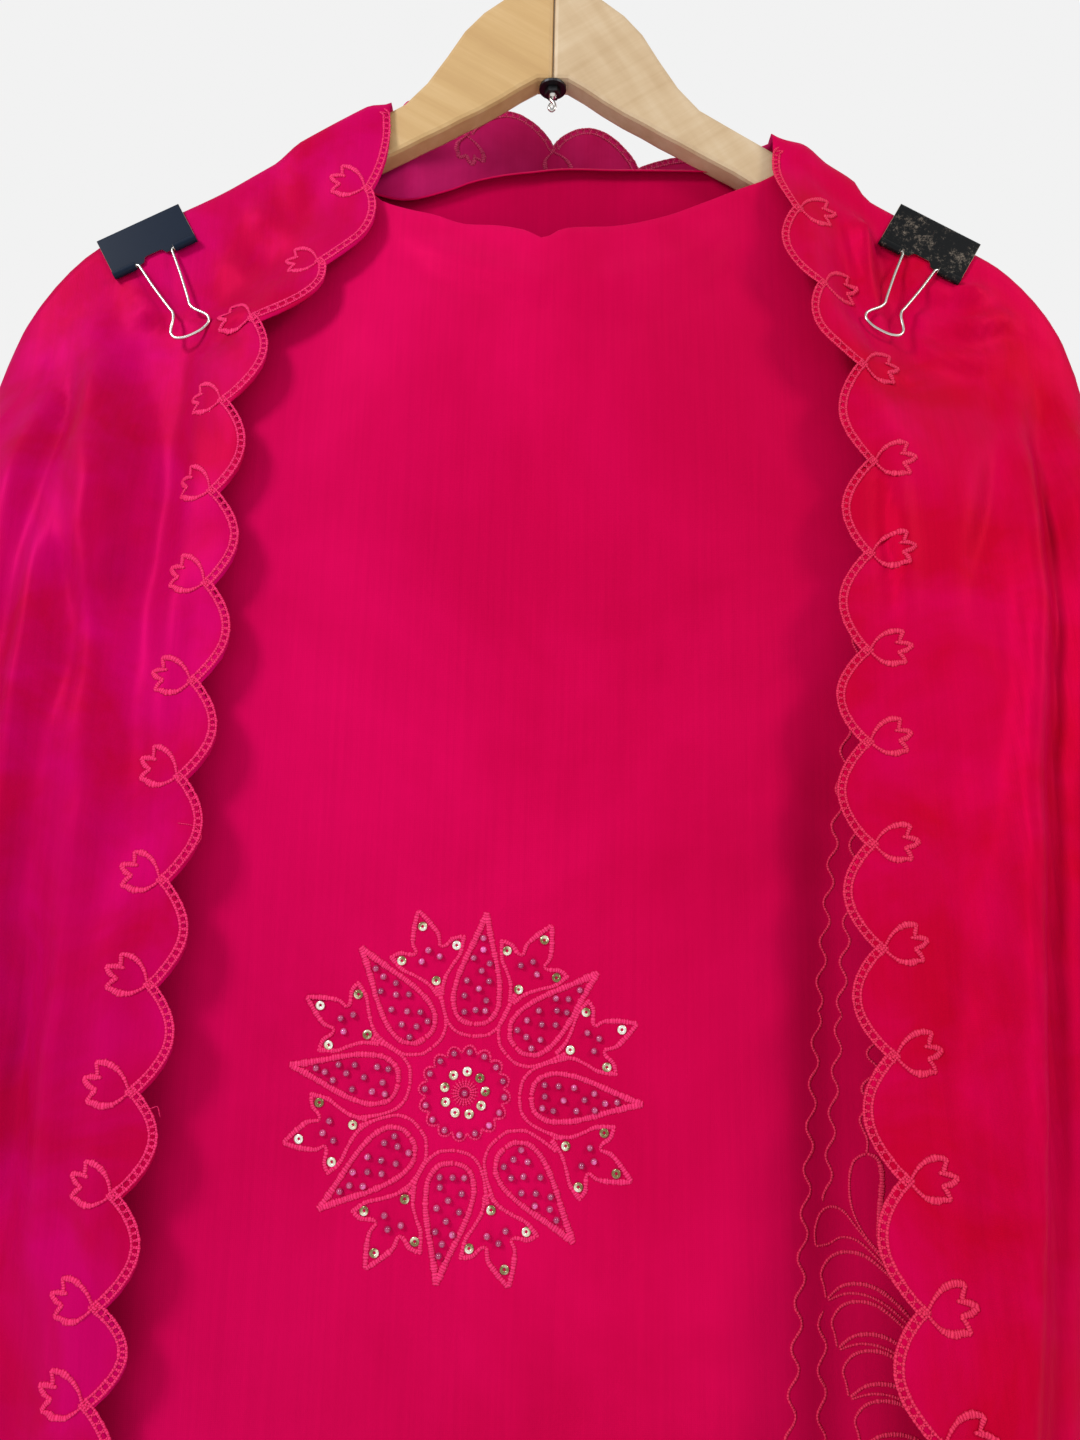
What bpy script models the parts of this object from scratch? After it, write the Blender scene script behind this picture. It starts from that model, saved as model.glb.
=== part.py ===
"""Dupatta stole hung on a wooden hanger and held by two binder clips.

Metres, +Z up, front faces -Y.  The origin is the inner top of the hanger's hook, where a rail
would touch it.  Sizes below are in millimetres and are turned into metres where points are made.
"""
import math

import bmesh
import bpy
from mathutils import Matrix, Vector

MM = 0.001
GAP = 0.3                      # clearance between pieces that touch

# hanger
WOOD_HALF = 6.0                # half thickness of the arms
WOOD_ROUND = 2.0               # rounding of the wood's long edges
HOOK_WIRE = 1.75               # radius of the hook's wire
HOOK_INNER = 20.0              # inner radius of the hook
HOOK_NECK = 12.0               # radius where the shank swings into the hook
HOOK_TIP = 205.0               # degrees round the hook where its tip ends
SHANK_END = -134.5
WASHER_TOP = -129.3
WASHER_THICK = 1.2
WASHER_RADIUS = 6.5
NUT_THICK = 2.6
NUT_RADIUS = 3.9
BORE = 2.05                    # hole for the shank

# one arm of the hanger: distance from the middle, top line, under line
ARM_ROWS = (
    (0.0, -75.0, -129.0),
    (7.0, -75.8, -129.0),
    (15.0, -79.0, -134.0),
    (24.0, -85.5, -140.5),
    (34.0, -93.5, -147.0),
    (43.0, -104.0, -152.0),
    (51.0, -118.0, -157.0),
    (60.0, -132.5, -162.0),
    (70.0, -144.0, -168.0),
    (85.0, -153.5, -176.5),
    (101.0, -163.5, -187.0),
    (120.0, -176.0, -199.0),
    (135.0, -186.0, -208.5),
    (152.0, -197.5, -219.5),
    (179.0, -212.5, -234.5),
    (206.0, -227.5, -248.5),
    (211.0, -233.0, -249.5),
    (214.5, -240.0, -246.0),
)

# cloth
WALL = 1.2                     # thickness of each stretch of cloth
INNER_LIFT = 1.7               # middle of the inner cloth above the wood's top line
OUTER_LIFT = 4.3               # middle of the outer cloth above the wood's top line
INNER_FACE = WOOD_HALF + GAP + WALL / 2
OUTER_FACE = INNER_FACE + WALL + GAP
SEAM = GAP / 2                 # half the gap along the ridge, where front and back meet
SIDE_SEAM = 0.6                # half the gap down the sides
NECK_LIFT = 1.5                # extra height over the arm where the inner necklines turn down
NECK_OUT = 0.7                 # extra clearance from the arm's face there
OUTER_EXTRA = 2.2              # how many times more of both the outer cloth takes
SIDE_STEP = 8.0                # first steps of cloth down each side line
SIDE_SPLAY = 0.3               # how far each of those steps also moves out, for each mm of drop
FRONT_SWELL = 14.0             # how far the inner cloth swells out below the arms
BACK_SWELL = 13.0
SWELL_DROP = 150.0             # drop over which it does so
LEAN = 0.020                   # further swell for each millimetre of drop
SCALLOP = 40.0                 # pitch of the scalloped edge below the listed cusps
SCALLOP_RISE = 10.0            # how far each scallop bulges past its cusps
SCALLOP_STEPS = 3
FALL_HEM = {"left": -1108.0, "right": -1122.0}
SIDE_ROUND = 15.0              # reach of the turn round each side

# columns of a fall: share of its width, turn round the side in degrees
FALL_COLUMNS = ((0.0, 0.0), (0.12, 0.0), (0.25, 0.0), (0.39, 0.0), (0.54, 0.0), (0.70, 0.0),
                (0.85, 0.0), (1.0, 0.0), (1.0, 45.0), (1.0, 90.0))
# where those columns lie along the arm's ridge, then down the side line: x, z
FALL_RIDGE = {
    "left": (76.0, 90.0, 106.0, 120.0, 135.0, 152.0, 179.0, 206.0),
    "right": (103.0, 112.0, 120.0, 135.0, 152.0, 168.0, 186.0, 206.0),
}
SIDE_LINE = {
    "left": ((231.0, -253.0), (246.0, -302.0)),
    "right": ((229.0, -245.0), (241.0, -292.0)),
}
SIDE_HANG = {"left": 257.0, "right": 250.0}        # where the sides hang at the hem

# the scalloped front edge of each fall, a row for each cusp: x, z, y
FALL_EDGE = {
    "left": (
        (-76.0, -152.0, -8.4), (-82.0, -194.0, -14.0), (-100.0, -235.0, -20.0),
        (-126.0, -267.0, -26.0), (-135.0, -308.0, -31.0), (-135.5, -350.0, -34.0),
        (-134.5, -390.0, -35.0), (-136.5, -431.0, -37.0), (-138.0, -470.0, -39.0),
        (-141.0, -510.0, -41.0), (-142.0, -549.0, -43.0), (-144.5, -587.0, -44.0),
        (-148.0, -623.0, -44.0), (-150.5, -660.0, -44.0), (-151.5, -692.0, -44.0),
    ),
    "right": (
        (103.0, -169.0, -8.4), (109.5, -204.0, -20.0), (118.0, -245.0, -26.0),
        (133.0, -285.0, -30.0), (135.0, -330.0, -32.0), (132.0, -371.0, -34.0),
        (128.5, -413.0, -37.0), (126.0, -451.0, -41.0), (125.5, -491.0, -44.0),
        (126.5, -530.0, -48.0), (128.0, -568.0, -52.0), (129.0, -609.0, -60.0),
        (130.5, -649.0, -68.0), (131.5, -686.0, -76.0),
    ),
}
EDGE_DRIFT = {"left": -0.030, "right": 0.006}      # sideways drift of the edge further down

# long folds of each fall: share of the width, share at the hem, height, half width, z it begins
FALL_FOLDS = {
    "left": (
        (0.36, 0.44, 7.0, 0.11, -300.0),
        (0.70, 0.74, 10.0, 0.10, -290.0),
        (0.95, 1.02, 5.0, 0.08, -340.0),
    ),
    "right": (
        (0.42, 0.40, 7.0, 0.11, -340.0),
        (0.96, -0.22, 15.0, 0.18, -268.0),
        (1.02, 0.80, 8.0, 0.12, -320.0),
    ),
}
FALL_BASE = {"left": 4.0, "right": 26.0}           # swing of the whole fall at z = -700

# top edge of the front stretch where it is free between the arms: x, z
FRONT_NECK = (
    (-86.0, -188.0), (-78.0, -197.0), (-66.0, -201.5), (-54.0, -205.0), (-38.0, -209.5),
    (-22.0, -214.0), (-11.0, -218.0), (-2.0, -221.0), (7.0, -216.5), (22.0, -215.0),
    (40.0, -213.0), (54.0, -207.5), (68.0, -200.5), (86.0, -191.5), (99.0, -187.0),
)
FRONT_ARMS = ((-203.0, -186.0, -168.0, -152.0, -135.0, -120.0, -108.0, -99.0),
              (112.0, 120.0, 135.0, 152.0, 168.0, 186.0, 203.0))
# top edge of the inner back stretch between the arms: x, z
BACK_NECK = (
    (-86.0, -182.0), (-59.0, -170.0), (-26.0, -164.0), (1.0, -160.0), (47.0, -163.0),
    (74.0, -171.0), (98.0, -188.0),
)
BACK_ARMS = ((-203.0, -179.0, -152.0, -135.0, -120.0, -108.0, -99.0),
             (112.0, 120.0, 135.0, 152.0, 179.0, 203.0))
NECK_CORNER = (-92.5, 105.5)    # where each inner neckline turns down the arm's face
FRONT_HEM = -1010.0
INNER_BACK_HEM = -1000.0

# scalloped top edge of the outer back, standing behind the hanger's neck: x, y, z, scallop rise
COLLAR = (
    (-70.0, 9.5, -136.0, 0.0), (-62.0, 15.0, -127.5, 0.6), (-52.0, 20.0, -121.0, 1.0),
    (-42.0, 25.0, -122.0, 0.0), (-32.0, 30.0, -116.0, 1.0), (-20.0, 33.5, -114.5, 1.0),
    (-9.0, 36.0, -119.0, 0.6), (1.0, 38.0, -128.5, 0.0), (11.0, 39.5, -120.0, 0.8),
    (22.0, 40.0, -118.0, 1.0), (33.0, 38.0, -124.0, 0.8), (44.0, 35.5, -141.0, 0.0),
    (55.0, 32.0, -138.0, 0.6), (67.0, 27.0, -140.0, 0.8), (78.0, 20.0, -147.5, 0.0),
    (89.0, 14.0, -144.0, 0.8), (97.0, 9.5, -149.0, 0.4),
)
BACK_ARM_X = ((-206.0, -179.0, -152.0, -135.0, -120.0, -106.0, -90.0, -78.0),
              (106.0, 112.0, 120.0, 135.0, 152.0, 179.0, 206.0))
BACK_HEM = -1042.0
BACK_DROPS = 16
BACK_FOLDS = (                  # x at the top, x at the hem, height, half width, z it begins
    (-150.0, -172.0, 12.0, 24.0, -250.0),
    (-62.0, -84.0, 15.0, 26.0, -200.0),
    (18.0, 8.0, 11.0, 22.0, -170.0),
    (88.0, 104.0, 15.0, 25.0, -210.0),
    (165.0, 190.0, 12.0, 23.0, -250.0),
)

# binder clips
CLIP_WIDE = 41.0
CLIP_PLATE = 21.0
CLIP_STEEL = 0.6
CLIP_AT = {"left": -186.5, "right": 176.0}
KNUCKLE = 11.0                 # length of each roll along the jaw
ROLL = 1.45                    # radius of the roll's middle
ROLL_TURN = 290.0
WIRE = 0.8                     # radius of the handle wire
HANDLE_TILT = 10.0             # degrees out from the plate, so that it lies on the cloth
# half outline of a handle, from inside its knuckle to the end of its loop: x, drop
HANDLE_HALF = (
    (-18.0, 0.0), (-9.8, 0.0), (-8.6, 0.4), (-7.7, 1.4), (-7.3, 2.8), (-6.2, 10.0),
    (-4.9, 18.0), (-4.4, 23.0), (-5.0, 26.2), (-7.2, 29.2), (-7.9, 31.6), (-6.9, 33.8),
    (-4.4, 35.0),
)

COLOURS = {                    # red, green, blue, roughness, metallic
    "cloth": (0.62, 0.004, 0.065, 0.62, 0.0),
    "wood_left": (0.60, 0.36, 0.15, 0.45, 0.0),
    "wood_right": (0.74, 0.54, 0.32, 0.45, 0.0),
    "steel": (0.72, 0.72, 0.72, 0.25, 1.0),
    "black": (0.02, 0.02, 0.025, 0.35, 0.0),
}


def read_row(rows, x, column):
    """Straight-line reading of one column of a table whose first column rises."""
    if x <= rows[0][0]:
        return rows[0][column]
    for low, high in zip(rows, rows[1:]):
        if x <= high[0]:
            share = (x - low[0]) / (high[0] - low[0])
            return low[column] + (high[column] - low[column]) * share
    return rows[-1][column]


def ease(value):
    """Smooth step from 0 to 1."""
    value = min(max(value, 0.0), 1.0)
    return value * value * (3.0 - 2.0 * value)


def arm_top(x):
    return read_row(ARM_ROWS, abs(x), 1)


def arm_under(x):
    return read_row(ARM_ROWS, abs(x), 2)


def swell(x, z):
    """0 beside the arm, growing to 1 below it."""
    return ease((arm_under(x) - 3.0 - z) / SWELL_DROP)


def front_face(x, z):
    """Middle of the inner cloth in front of the hanger."""
    side = 1.0 - 0.45 * (x / 215.0) ** 2
    lean = LEAN * max(0.0, -z - 300.0) * swell(x, z)
    ripple = 1.6 * math.cos(x / 21.0 + z / 160.0) + 1.1 * math.cos(x / 33.0 - z / 240.0)
    return -INNER_FACE - (FRONT_SWELL * side + ripple) * swell(x, z) - lean


def back_face(x, z):
    """Middle of the inner cloth behind the hanger."""
    side = 1.0 - 0.5 * (x / 215.0) ** 2
    ripple = 1.5 * math.cos(x / 25.0 + 1.0 + z / 210.0)
    return INNER_FACE + (BACK_SWELL * side + ripple) * swell(x, z)


def material(kind):
    made = bpy.data.materials.get(kind)
    if made is None:
        red, green, blue, rough, metal = COLOURS[kind]
        made = bpy.data.materials.new(kind)
        made.use_nodes = True
        shader = made.node_tree.nodes["Principled BSDF"]
        shader.inputs["Base Color"].default_value = (red, green, blue, 1.0)
        shader.inputs["Roughness"].default_value = rough
        shader.inputs["Metallic"].default_value = metal
    return made


def own_material(name, kind):
    """Each object gets a material of its own, copied from its kind."""
    made = material(kind).copy()
    made.name = name
    return made


def clear_scene():
    for thing in list(bpy.data.objects):
        bpy.data.objects.remove(thing, do_unlink=True)


def collection(name):
    made = bpy.data.collections.new(name)
    bpy.context.scene.collection.children.link(made)
    return made


def add_object(name, data, home, kind=None):
    thing = bpy.data.objects.new(name, data)
    home.objects.link(thing)
    if kind:
        data.materials.append(own_material(name, kind))
    return thing


def cloth_sheet(name, columns, rows, point, home):
    """A grid of cloth points, thickened to a closed wall."""
    mesh = bpy.data.meshes.new(name)
    grid = bmesh.new()
    bmesh.ops.create_grid(grid, x_segments=columns - 1, y_segments=rows - 1, size=0.5)
    for vertex in grid.verts:
        column = round((vertex.co.x + 0.5) * (columns - 1))
        row = round((0.5 - vertex.co.y) * (rows - 1))
        vertex.co = Vector(point(column, row)) * MM
    grid.to_mesh(mesh)
    grid.free()
    mesh.shade_smooth()
    cloth = add_object(name, mesh, home, "cloth")
    wall = cloth.modifiers.new("wall", "SOLIDIFY")
    wall.thickness = WALL * MM
    wall.offset = 0.0
    return cloth


def by_neck(x):
    """1 where the inner stretches turn down beside the neck, 0 elsewhere."""
    return ease((abs(x) - 76.0) / 12.0) * ease((130.0 - abs(x)) / 14.0)


def over_arm(x, row, side, lift, face):
    """The first rows of a stretch, from the arm's ridge round to its face.  side is -1 or 1."""
    layer = (face - INNER_FACE) * 0.7
    extra = by_neck(x) * (OUTER_EXTRA if layer > 0.1 else 1.0)
    lift += NECK_LIFT * extra
    face += NECK_OUT * extra
    steps = ((SEAM, lift), (4.2 + layer, lift), (face + 0.05, layer - 0.4), (face, -7.0))
    out, rise = steps[row]
    return side * out, arm_top(x) + rise


def neck_columns(neck, arms, corners):
    """Columns of an inner stretch: arm columns, a turned corner, the free neckline, and back."""
    made = [(x, None) for x in arms[0]]
    made.append((corners[0], "corner"))
    made += list(neck)
    made.append((corners[1], "corner"))
    made += [(x, None) for x in arms[1]]
    return made


def inner_stretch(name, neck, arms, side, hem, drops, home):
    """A stretch hung over both arms with a free neckline between them."""
    columns = neck_columns(neck, arms, NECK_CORNER)
    face_of = front_face if side < 0 else back_face

    def point(column, row):
        x, top = columns[column]
        if row < 4 and top is None:
            y, z = over_arm(x, row, side, INNER_LIFT, INNER_FACE)
            return x, y, z
        if top is None:
            start = arm_top(x) - 7.0
        elif top == "corner":
            start = arm_top(x) + 1.6
            if row < 4:
                return x, side * (INNER_FACE + NECK_OUT), start - 1.7 * row
            start -= 7.2
        else:
            start = top - 7.0
            if row < 4:
                z = top - 7.0 * row / 3.0
                return x, face_of(x, z), z
        share = (row - 3) / drops
        share = 0.5 * share + 0.5 * share * share
        bottom = hem + 5.0 * math.cos(x / 47.0)
        z = start + (bottom - start) * share
        return x, face_of(x, z), z

    return cloth_sheet(name, len(columns), drops + 4, point, home)


def edge_rows(hand):
    """Cusps of a fall's edge, carried on to the hem, as x, z, y."""
    rows = list(FALL_EDGE[hand])
    while rows[-1][1] > FALL_HEM[hand] + SCALLOP * 0.6:
        x, z, y = rows[-1]
        rows.append((x + EDGE_DRIFT[hand] * SCALLOP, z - SCALLOP, y - 0.6))
    return rows


def ridge_point(hand, column):
    """The outer cloth's ridge: along the arm, then past its end down the side."""
    sign = -1.0 if hand == "left" else 1.0
    along = FALL_RIDGE[hand]
    if column < len(along):
        x = along[column]
        return sign * x, arm_top(x) + OUTER_LIFT + NECK_LIFT * OUTER_EXTRA * by_neck(x)
    x, z = SIDE_LINE[hand][column - len(along)]
    return sign * x, z


def side_turn(hand, column, down):
    """Place and turn of a side column: x of the hanging side, and how far it has come round."""
    sign = -1.0 if hand == "left" else 1.0
    turn = math.radians(FALL_COLUMNS[column][1])
    side_x = SIDE_LINE[hand][-1][0] + 2.5 * SIDE_SPLAY * SIDE_STEP
    side_x += (SIDE_HANG[hand] - side_x) * down
    return sign * (side_x - SIDE_ROUND * (1.0 - math.sin(turn))), math.cos(turn)


def fold_height(folds, share, z):
    """How far the long folds stand out at one place of a fall."""
    total = 0.0
    drop = min(max((-z - 250.0) / 850.0, 0.0), 1.0)
    for top, low, height, half, begin in folds:
        middle = top + (low - top) * drop
        near = math.exp(-((share - middle) / half) ** 2)
        total += height * near * ease((begin - z) / 150.0)
    return total


def fall(hand, home):
    """One front fall, from its scalloped edge round to the side."""
    sign = -1.0 if hand == "left" else 1.0
    cusps = edge_rows(hand)
    steps = (len(cusps) - 1) * SCALLOP_STEPS
    edge_top = cusps[0][1]
    edge_low = cusps[-1][1]

    def edge(step):
        low = min(step // SCALLOP_STEPS, len(cusps) - 2)
        part = step / SCALLOP_STEPS - low
        x, z, y = [a + (b - a) * part for a, b in zip(cusps[low], cusps[low + 1])]
        rise = SCALLOP_RISE if low > 0 else 0.3 * SCALLOP_RISE
        return x - sign * rise * math.sin(math.pi * part), z, y

    def point(column, row):
        share, _turn = FALL_COLUMNS[column]
        ridge_x, ridge_z = ridge_point(hand, column)
        if row < 3:
            if column < len(FALL_RIDGE[hand]):
                y, z = over_arm(ridge_x, row, -1.0, OUTER_LIFT, OUTER_FACE)
                return ridge_x, y, z
            _x, facing = side_turn(hand, column, 0.0)
            reach = (SIDE_SEAM, 4.9, OUTER_FACE)[row] * facing
            out = ridge_x + sign * SIDE_SPLAY * SIDE_STEP * row
            return out, -max(SIDE_SEAM, reach), ridge_z - SIDE_STEP * row
        edge_x, edge_z, edge_y = edge(row - 3)
        down = (edge_z - edge_top) / (edge_low - edge_top)
        hang_x, facing = side_turn(hand, column, down)
        start = ridge_z - (OUTER_LIFT + 7.0 if ridge_x * ridge_x < 215.0 ** 2 else 3.0 * SIDE_STEP)
        hem = edge_low + 20.0 * share + 6.0 * math.sin(6.0 * share)
        z = start + (hem - start) * down
        body_x = edge_x + (hang_x - edge_x) * share
        settle = ease(down * (edge_top - edge_low) / 120.0) if column else 1.0
        x = ridge_x + (body_x - ridge_x) * settle
        near_x = min(max(x, -214.0), 214.0)
        below = ease((arm_under(near_x) - 14.0 - z) / 90.0)
        inner = front_face(near_x, z)
        lift = (front_face(edge_x, edge_z) - edge_y - 2.5) * (1.0 - ease(share / 0.5))
        lift += FALL_BASE[hand] * ease((-z - 260.0) / 480.0) * ease(share / 0.5)
        lift += fold_height(FALL_FOLDS[hand], share, z) * ease(share / 0.25)
        y = inner - WALL - GAP - 1.0 * below - max(lift, 0.0) * (below if share > 0.3 else 1.0)
        y = min(y, -OUTER_FACE - OUTER_EXTRA * NECK_OUT * by_neck(x) * (1.0 - below))
        return x, min(-SIDE_SEAM, y * facing), z

    return cloth_sheet("fall_" + hand, len(FALL_COLUMNS), steps + 4, point, home)


def back_fold_height(x, z):
    total = 0.0
    drop = min(max((-z - 200.0) / 840.0, 0.0), 1.0)
    for top, low, height, half, begin in BACK_FOLDS:
        middle = top + (low - top) * drop
        total += height * math.exp(-((x - middle) / half) ** 2) * ease((begin - z) / 160.0)
    return total


def outer_back(home):
    """The outer stretch behind: over both arms, with the standing scalloped collar between."""
    first_side = len(FALL_RIDGE["left"])
    columns = [("side", "left", first_side + 1), ("side", "left", first_side)]
    columns += [("arm", x) for x in BACK_ARM_X[0]]
    columns += [("collar", row) for row in COLLAR]
    columns += [("arm", x) for x in BACK_ARM_X[1]]
    columns += [("side", "right", first_side), ("side", "right", first_side + 1)]

    def top_of(column):
        kind = columns[column][0]
        if kind == "side":
            x, z = ridge_point(*columns[column][1:])
            return x, SIDE_SEAM, z
        if kind == "arm":
            x = columns[column][1]
            return x, SEAM, arm_top(x) + OUTER_LIFT + NECK_LIFT * OUTER_EXTRA * by_neck(x)
        x, y, z, _rise = columns[column][1]
        return x, y, z

    def point(column, row):
        kind = columns[column][0]
        x, y, z = top_of(column)
        if row < 3:
            if kind == "arm":
                y, z = over_arm(x, row, 1.0, OUTER_LIFT, OUTER_FACE)
                return x, y, z
            if kind == "side":
                hang_x, facing = side_turn(*columns[column][1:], 0.0)
                reach = (SIDE_SEAM, 4.9, OUTER_FACE)[row] * facing
                x += math.copysign(SIDE_SPLAY * SIDE_STEP * row, hang_x)
                return x, max(SIDE_SEAM, reach), z - SIDE_STEP * row
            return x, y - 0.02 * row, z - 2.6 * row
        down = (row - 2) / BACK_DROPS
        start = z - (2.0 * SIDE_STEP if kind == "side" else OUTER_LIFT + 3.0)
        hem = BACK_HEM + 6.0 * math.cos(x / 40.0)
        low_z = start + (hem - start) * (0.45 * down * down + 0.55 * down)
        facing = 1.0
        if kind == "side":
            hang_x, facing = side_turn(*columns[column][1:], down)
            x += (hang_x - x) * ease(down * 5.0)
        elif abs(x) > 150.0:
            x *= 1.0 + 0.04 * ease(down * 4.0)
        near_x = min(max(x, -214.0), 214.0)
        below = ease((arm_under(near_x) - 8.0 - low_z) / 110.0)
        y_body = back_face(near_x, low_z) + WALL + GAP + (2.5 + back_fold_height(x, low_z)) * below
        if kind == "collar":
            stand = max(0.0, y - y_body)
            y_body += stand * (1.0 - ease((z - low_z) / 170.0))
        y_body = max(y_body, OUTER_FACE + OUTER_EXTRA * NECK_OUT * by_neck(x) * (1.0 - below))
        return x, max(SIDE_SEAM, y_body * facing), low_z

    return cloth_sheet("back_stretch", len(columns), BACK_DROPS + 3, point, home)


def hanger_arm(hand, home, cutters):
    """One mitred half of the hanger, sawn from a board."""
    sign = -1.0 if hand == "left" else 1.0
    outline = [(max(x, SEAM), top) for x, top, _under in ARM_ROWS]
    outline += [(max(x, SEAM), under) for x, _top, under in reversed(ARM_ROWS)]
    mesh = bpy.data.meshes.new("arm_" + hand)
    board = bmesh.new()
    ring = [board.verts.new((sign * x * MM, -WOOD_HALF * MM, z * MM)) for x, z in outline]
    face = board.faces.new(ring)
    grown = bmesh.ops.extrude_face_region(board, geom=[face])
    moved = [part for part in grown["geom"] if isinstance(part, bmesh.types.BMVert)]
    bmesh.ops.translate(board, verts=moved, vec=(0.0, 2.0 * WOOD_HALF * MM, 0.0))
    bmesh.ops.recalc_face_normals(board, faces=board.faces)
    board.to_mesh(mesh)
    board.free()
    arm = add_object("arm_" + hand, mesh, home, "wood_" + hand)
    rounding = arm.modifiers.new("rounding", "BEVEL")
    rounding.width = WOOD_ROUND * MM
    rounding.segments = 2
    rounding.limit_method = "ANGLE"
    rounding.angle_limit = math.radians(60.0)
    hole = bpy.data.meshes.new("bore_" + hand)
    drill = bmesh.new()
    bmesh.ops.create_cone(drill, cap_ends=True, segments=16, radius1=BORE * MM, radius2=BORE * MM,
                          depth=90.0 * MM)
    drill.to_mesh(hole)
    drill.free()
    cutter = add_object("bore_" + hand, hole, cutters)
    cutter.location = (0.0, 0.0, -102.0 * MM)
    cutter.hide_render = True
    cutter.display_type = "WIRE"
    cut = arm.modifiers.new("bore", "BOOLEAN")
    cut.operation = "DIFFERENCE"
    cut.object = cutter
    return arm


def wire_object(name, points, radius, home, kind, resolution=2):
    curve = bpy.data.curves.new(name, "CURVE")
    curve.dimensions = "3D"
    curve.bevel_depth = radius * MM
    curve.bevel_resolution = resolution
    curve.use_fill_caps = True
    line = curve.splines.new("POLY")
    line.points.add(len(points) - 1)
    for spot, place in zip(line.points, points):
        spot.co = (place[0] * MM, place[1] * MM, place[2] * MM, 1.0)
    return add_object(name, curve, home, kind)


def hook(home):
    """Shank up the middle, a swing to the right, and three quarters of a turn over the rail."""
    radius = HOOK_INNER + HOOK_WIRE
    middle = -HOOK_INNER
    swing = math.acos(HOOK_NECK / (radius + HOOK_NECK))
    neck_z = middle - (radius + HOOK_NECK) * math.sin(swing)
    points = [(0.0, 0.0, SHANK_END), (0.0, 0.0, -90.0), (0.0, 0.0, neck_z - 4.0)]
    for step in range(6):
        angle = swing * step / 6.0
        points.append((HOOK_NECK * (1.0 - math.cos(angle)), 0.0, neck_z + HOOK_NECK * math.sin(angle)))
    turns = 22
    for step in range(turns + 1):
        angle = -swing + (math.radians(HOOK_TIP) + swing) * step / turns
        points.append((radius * math.cos(angle), 0.0, middle + radius * math.sin(angle)))
    return wire_object("hook", points, HOOK_WIRE, home, "steel")


def turned_ring(name, radius, thickness, top, home, kind, steps):
    """A flat ring round the shank, turned from its rectangular section."""
    mesh = bpy.data.meshes.new(name)
    section = bmesh.new()
    corners = ((radius, top), (radius, top - thickness), (BORE, top - thickness), (BORE, top))
    verts = [section.verts.new((x * MM, 0.0, z * MM)) for x, z in corners]
    for first, second in zip(verts, verts[1:] + verts[:1]):
        section.edges.new((first, second))
    section.to_mesh(mesh)
    section.free()
    ring = add_object(name, mesh, home, kind)
    turn = ring.modifiers.new("turn", "SCREW")
    turn.axis = "Z"
    turn.angle = math.radians(360.0)
    turn.steps = steps
    turn.render_steps = steps
    turn.use_merge_vertices = True
    turn.merge_threshold = 0.00005
    return ring


def clip_profile():
    """Half of a clip's section from the middle of its spine to the end of the roll: y, z."""
    plate = OUTER_FACE + WALL / 2 + GAP + CLIP_STEEL / 2
    top = OUTER_LIFT + WALL / 2 + 0.8 + CLIP_STEEL / 2
    points = [(0.0, top), (plate - 2.4, top), (plate - 0.7, top - 0.7), (plate, top - 2.4),
              (plate, top - 12.0), (plate, top - CLIP_PLATE)]
    turns = 8
    for step in range(1, turns + 1):
        angle = math.radians(ROLL_TURN) * step / turns
        points.append((plate + ROLL - ROLL * math.cos(angle),
                       top - CLIP_PLATE - ROLL * math.sin(angle)))
    return points, plate + ROLL, top - CLIP_PLATE


def clip(hand, home):
    """A binder clip set over the arm, with a wire handle hinged in each jaw's rolls."""
    sign = -1.0 if hand == "left" else 1.0
    x_mid = CLIP_AT[hand]
    slope = math.atan2(arm_top(152.0) - arm_top(206.0), 54.0)
    seat = bpy.data.objects.new("clip_seat_" + hand, None)
    seat.location = (x_mid * MM, 0.0, arm_top(x_mid) * MM)
    seat.rotation_euler = (0.0, sign * slope, 0.0)
    home.objects.link(seat)
    half, roll_y, roll_z = clip_profile()
    rolled = len(half) - 6
    section = [(-y, z) for y, z in reversed(half[1:])] + half
    places = (-CLIP_WIDE / 2, -CLIP_WIDE / 2 + KNUCKLE, CLIP_WIDE / 2 - KNUCKLE, CLIP_WIDE / 2)
    mesh = bpy.data.meshes.new("clip_" + hand)
    sheet = bmesh.new()
    bmesh.ops.create_grid(sheet, x_segments=3, y_segments=len(section) - 1, size=0.5)
    inner = []
    for face in sheet.faces:
        middle = face.calc_center_median()
        row = (middle.y + 0.5) * (len(section) - 1)
        if abs(middle.x) < 0.1 and (row < rolled or row > len(section) - 1 - rolled):
            inner.append(face)
    for vertex in sheet.verts:
        column = round((vertex.co.x + 0.5) * 3)
        row = round((vertex.co.y + 0.5) * (len(section) - 1))
        y, z = section[row]
        vertex.co = Vector((places[column], y, z)) * MM
    bmesh.ops.delete(sheet, geom=inner, context="FACES")
    sheet.to_mesh(mesh)
    sheet.free()
    body = add_object("clip_" + hand, mesh, home, "black")
    body.parent = seat
    wall = body.modifiers.new("steel", "SOLIDIFY")
    wall.thickness = CLIP_STEEL * MM
    wall.offset = 0.0
    for side, word in ((-1.0, "front"), (1.0, "back")):
        name = "handle_" + hand + "_" + word
        half_loop = [(x, 0.0, -drop) for x, drop in HANDLE_HALF]
        loop = half_loop + [(-x, y, z) for x, y, z in reversed(half_loop)]
        handle = wire_object(name, loop, WIRE, home, "steel", 1)
        handle.parent = seat
        handle.location = (0.0, side * roll_y * MM, roll_z * MM)
        handle.rotation_euler = (side * math.radians(HANDLE_TILT), 0.0, 0.0)


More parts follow.
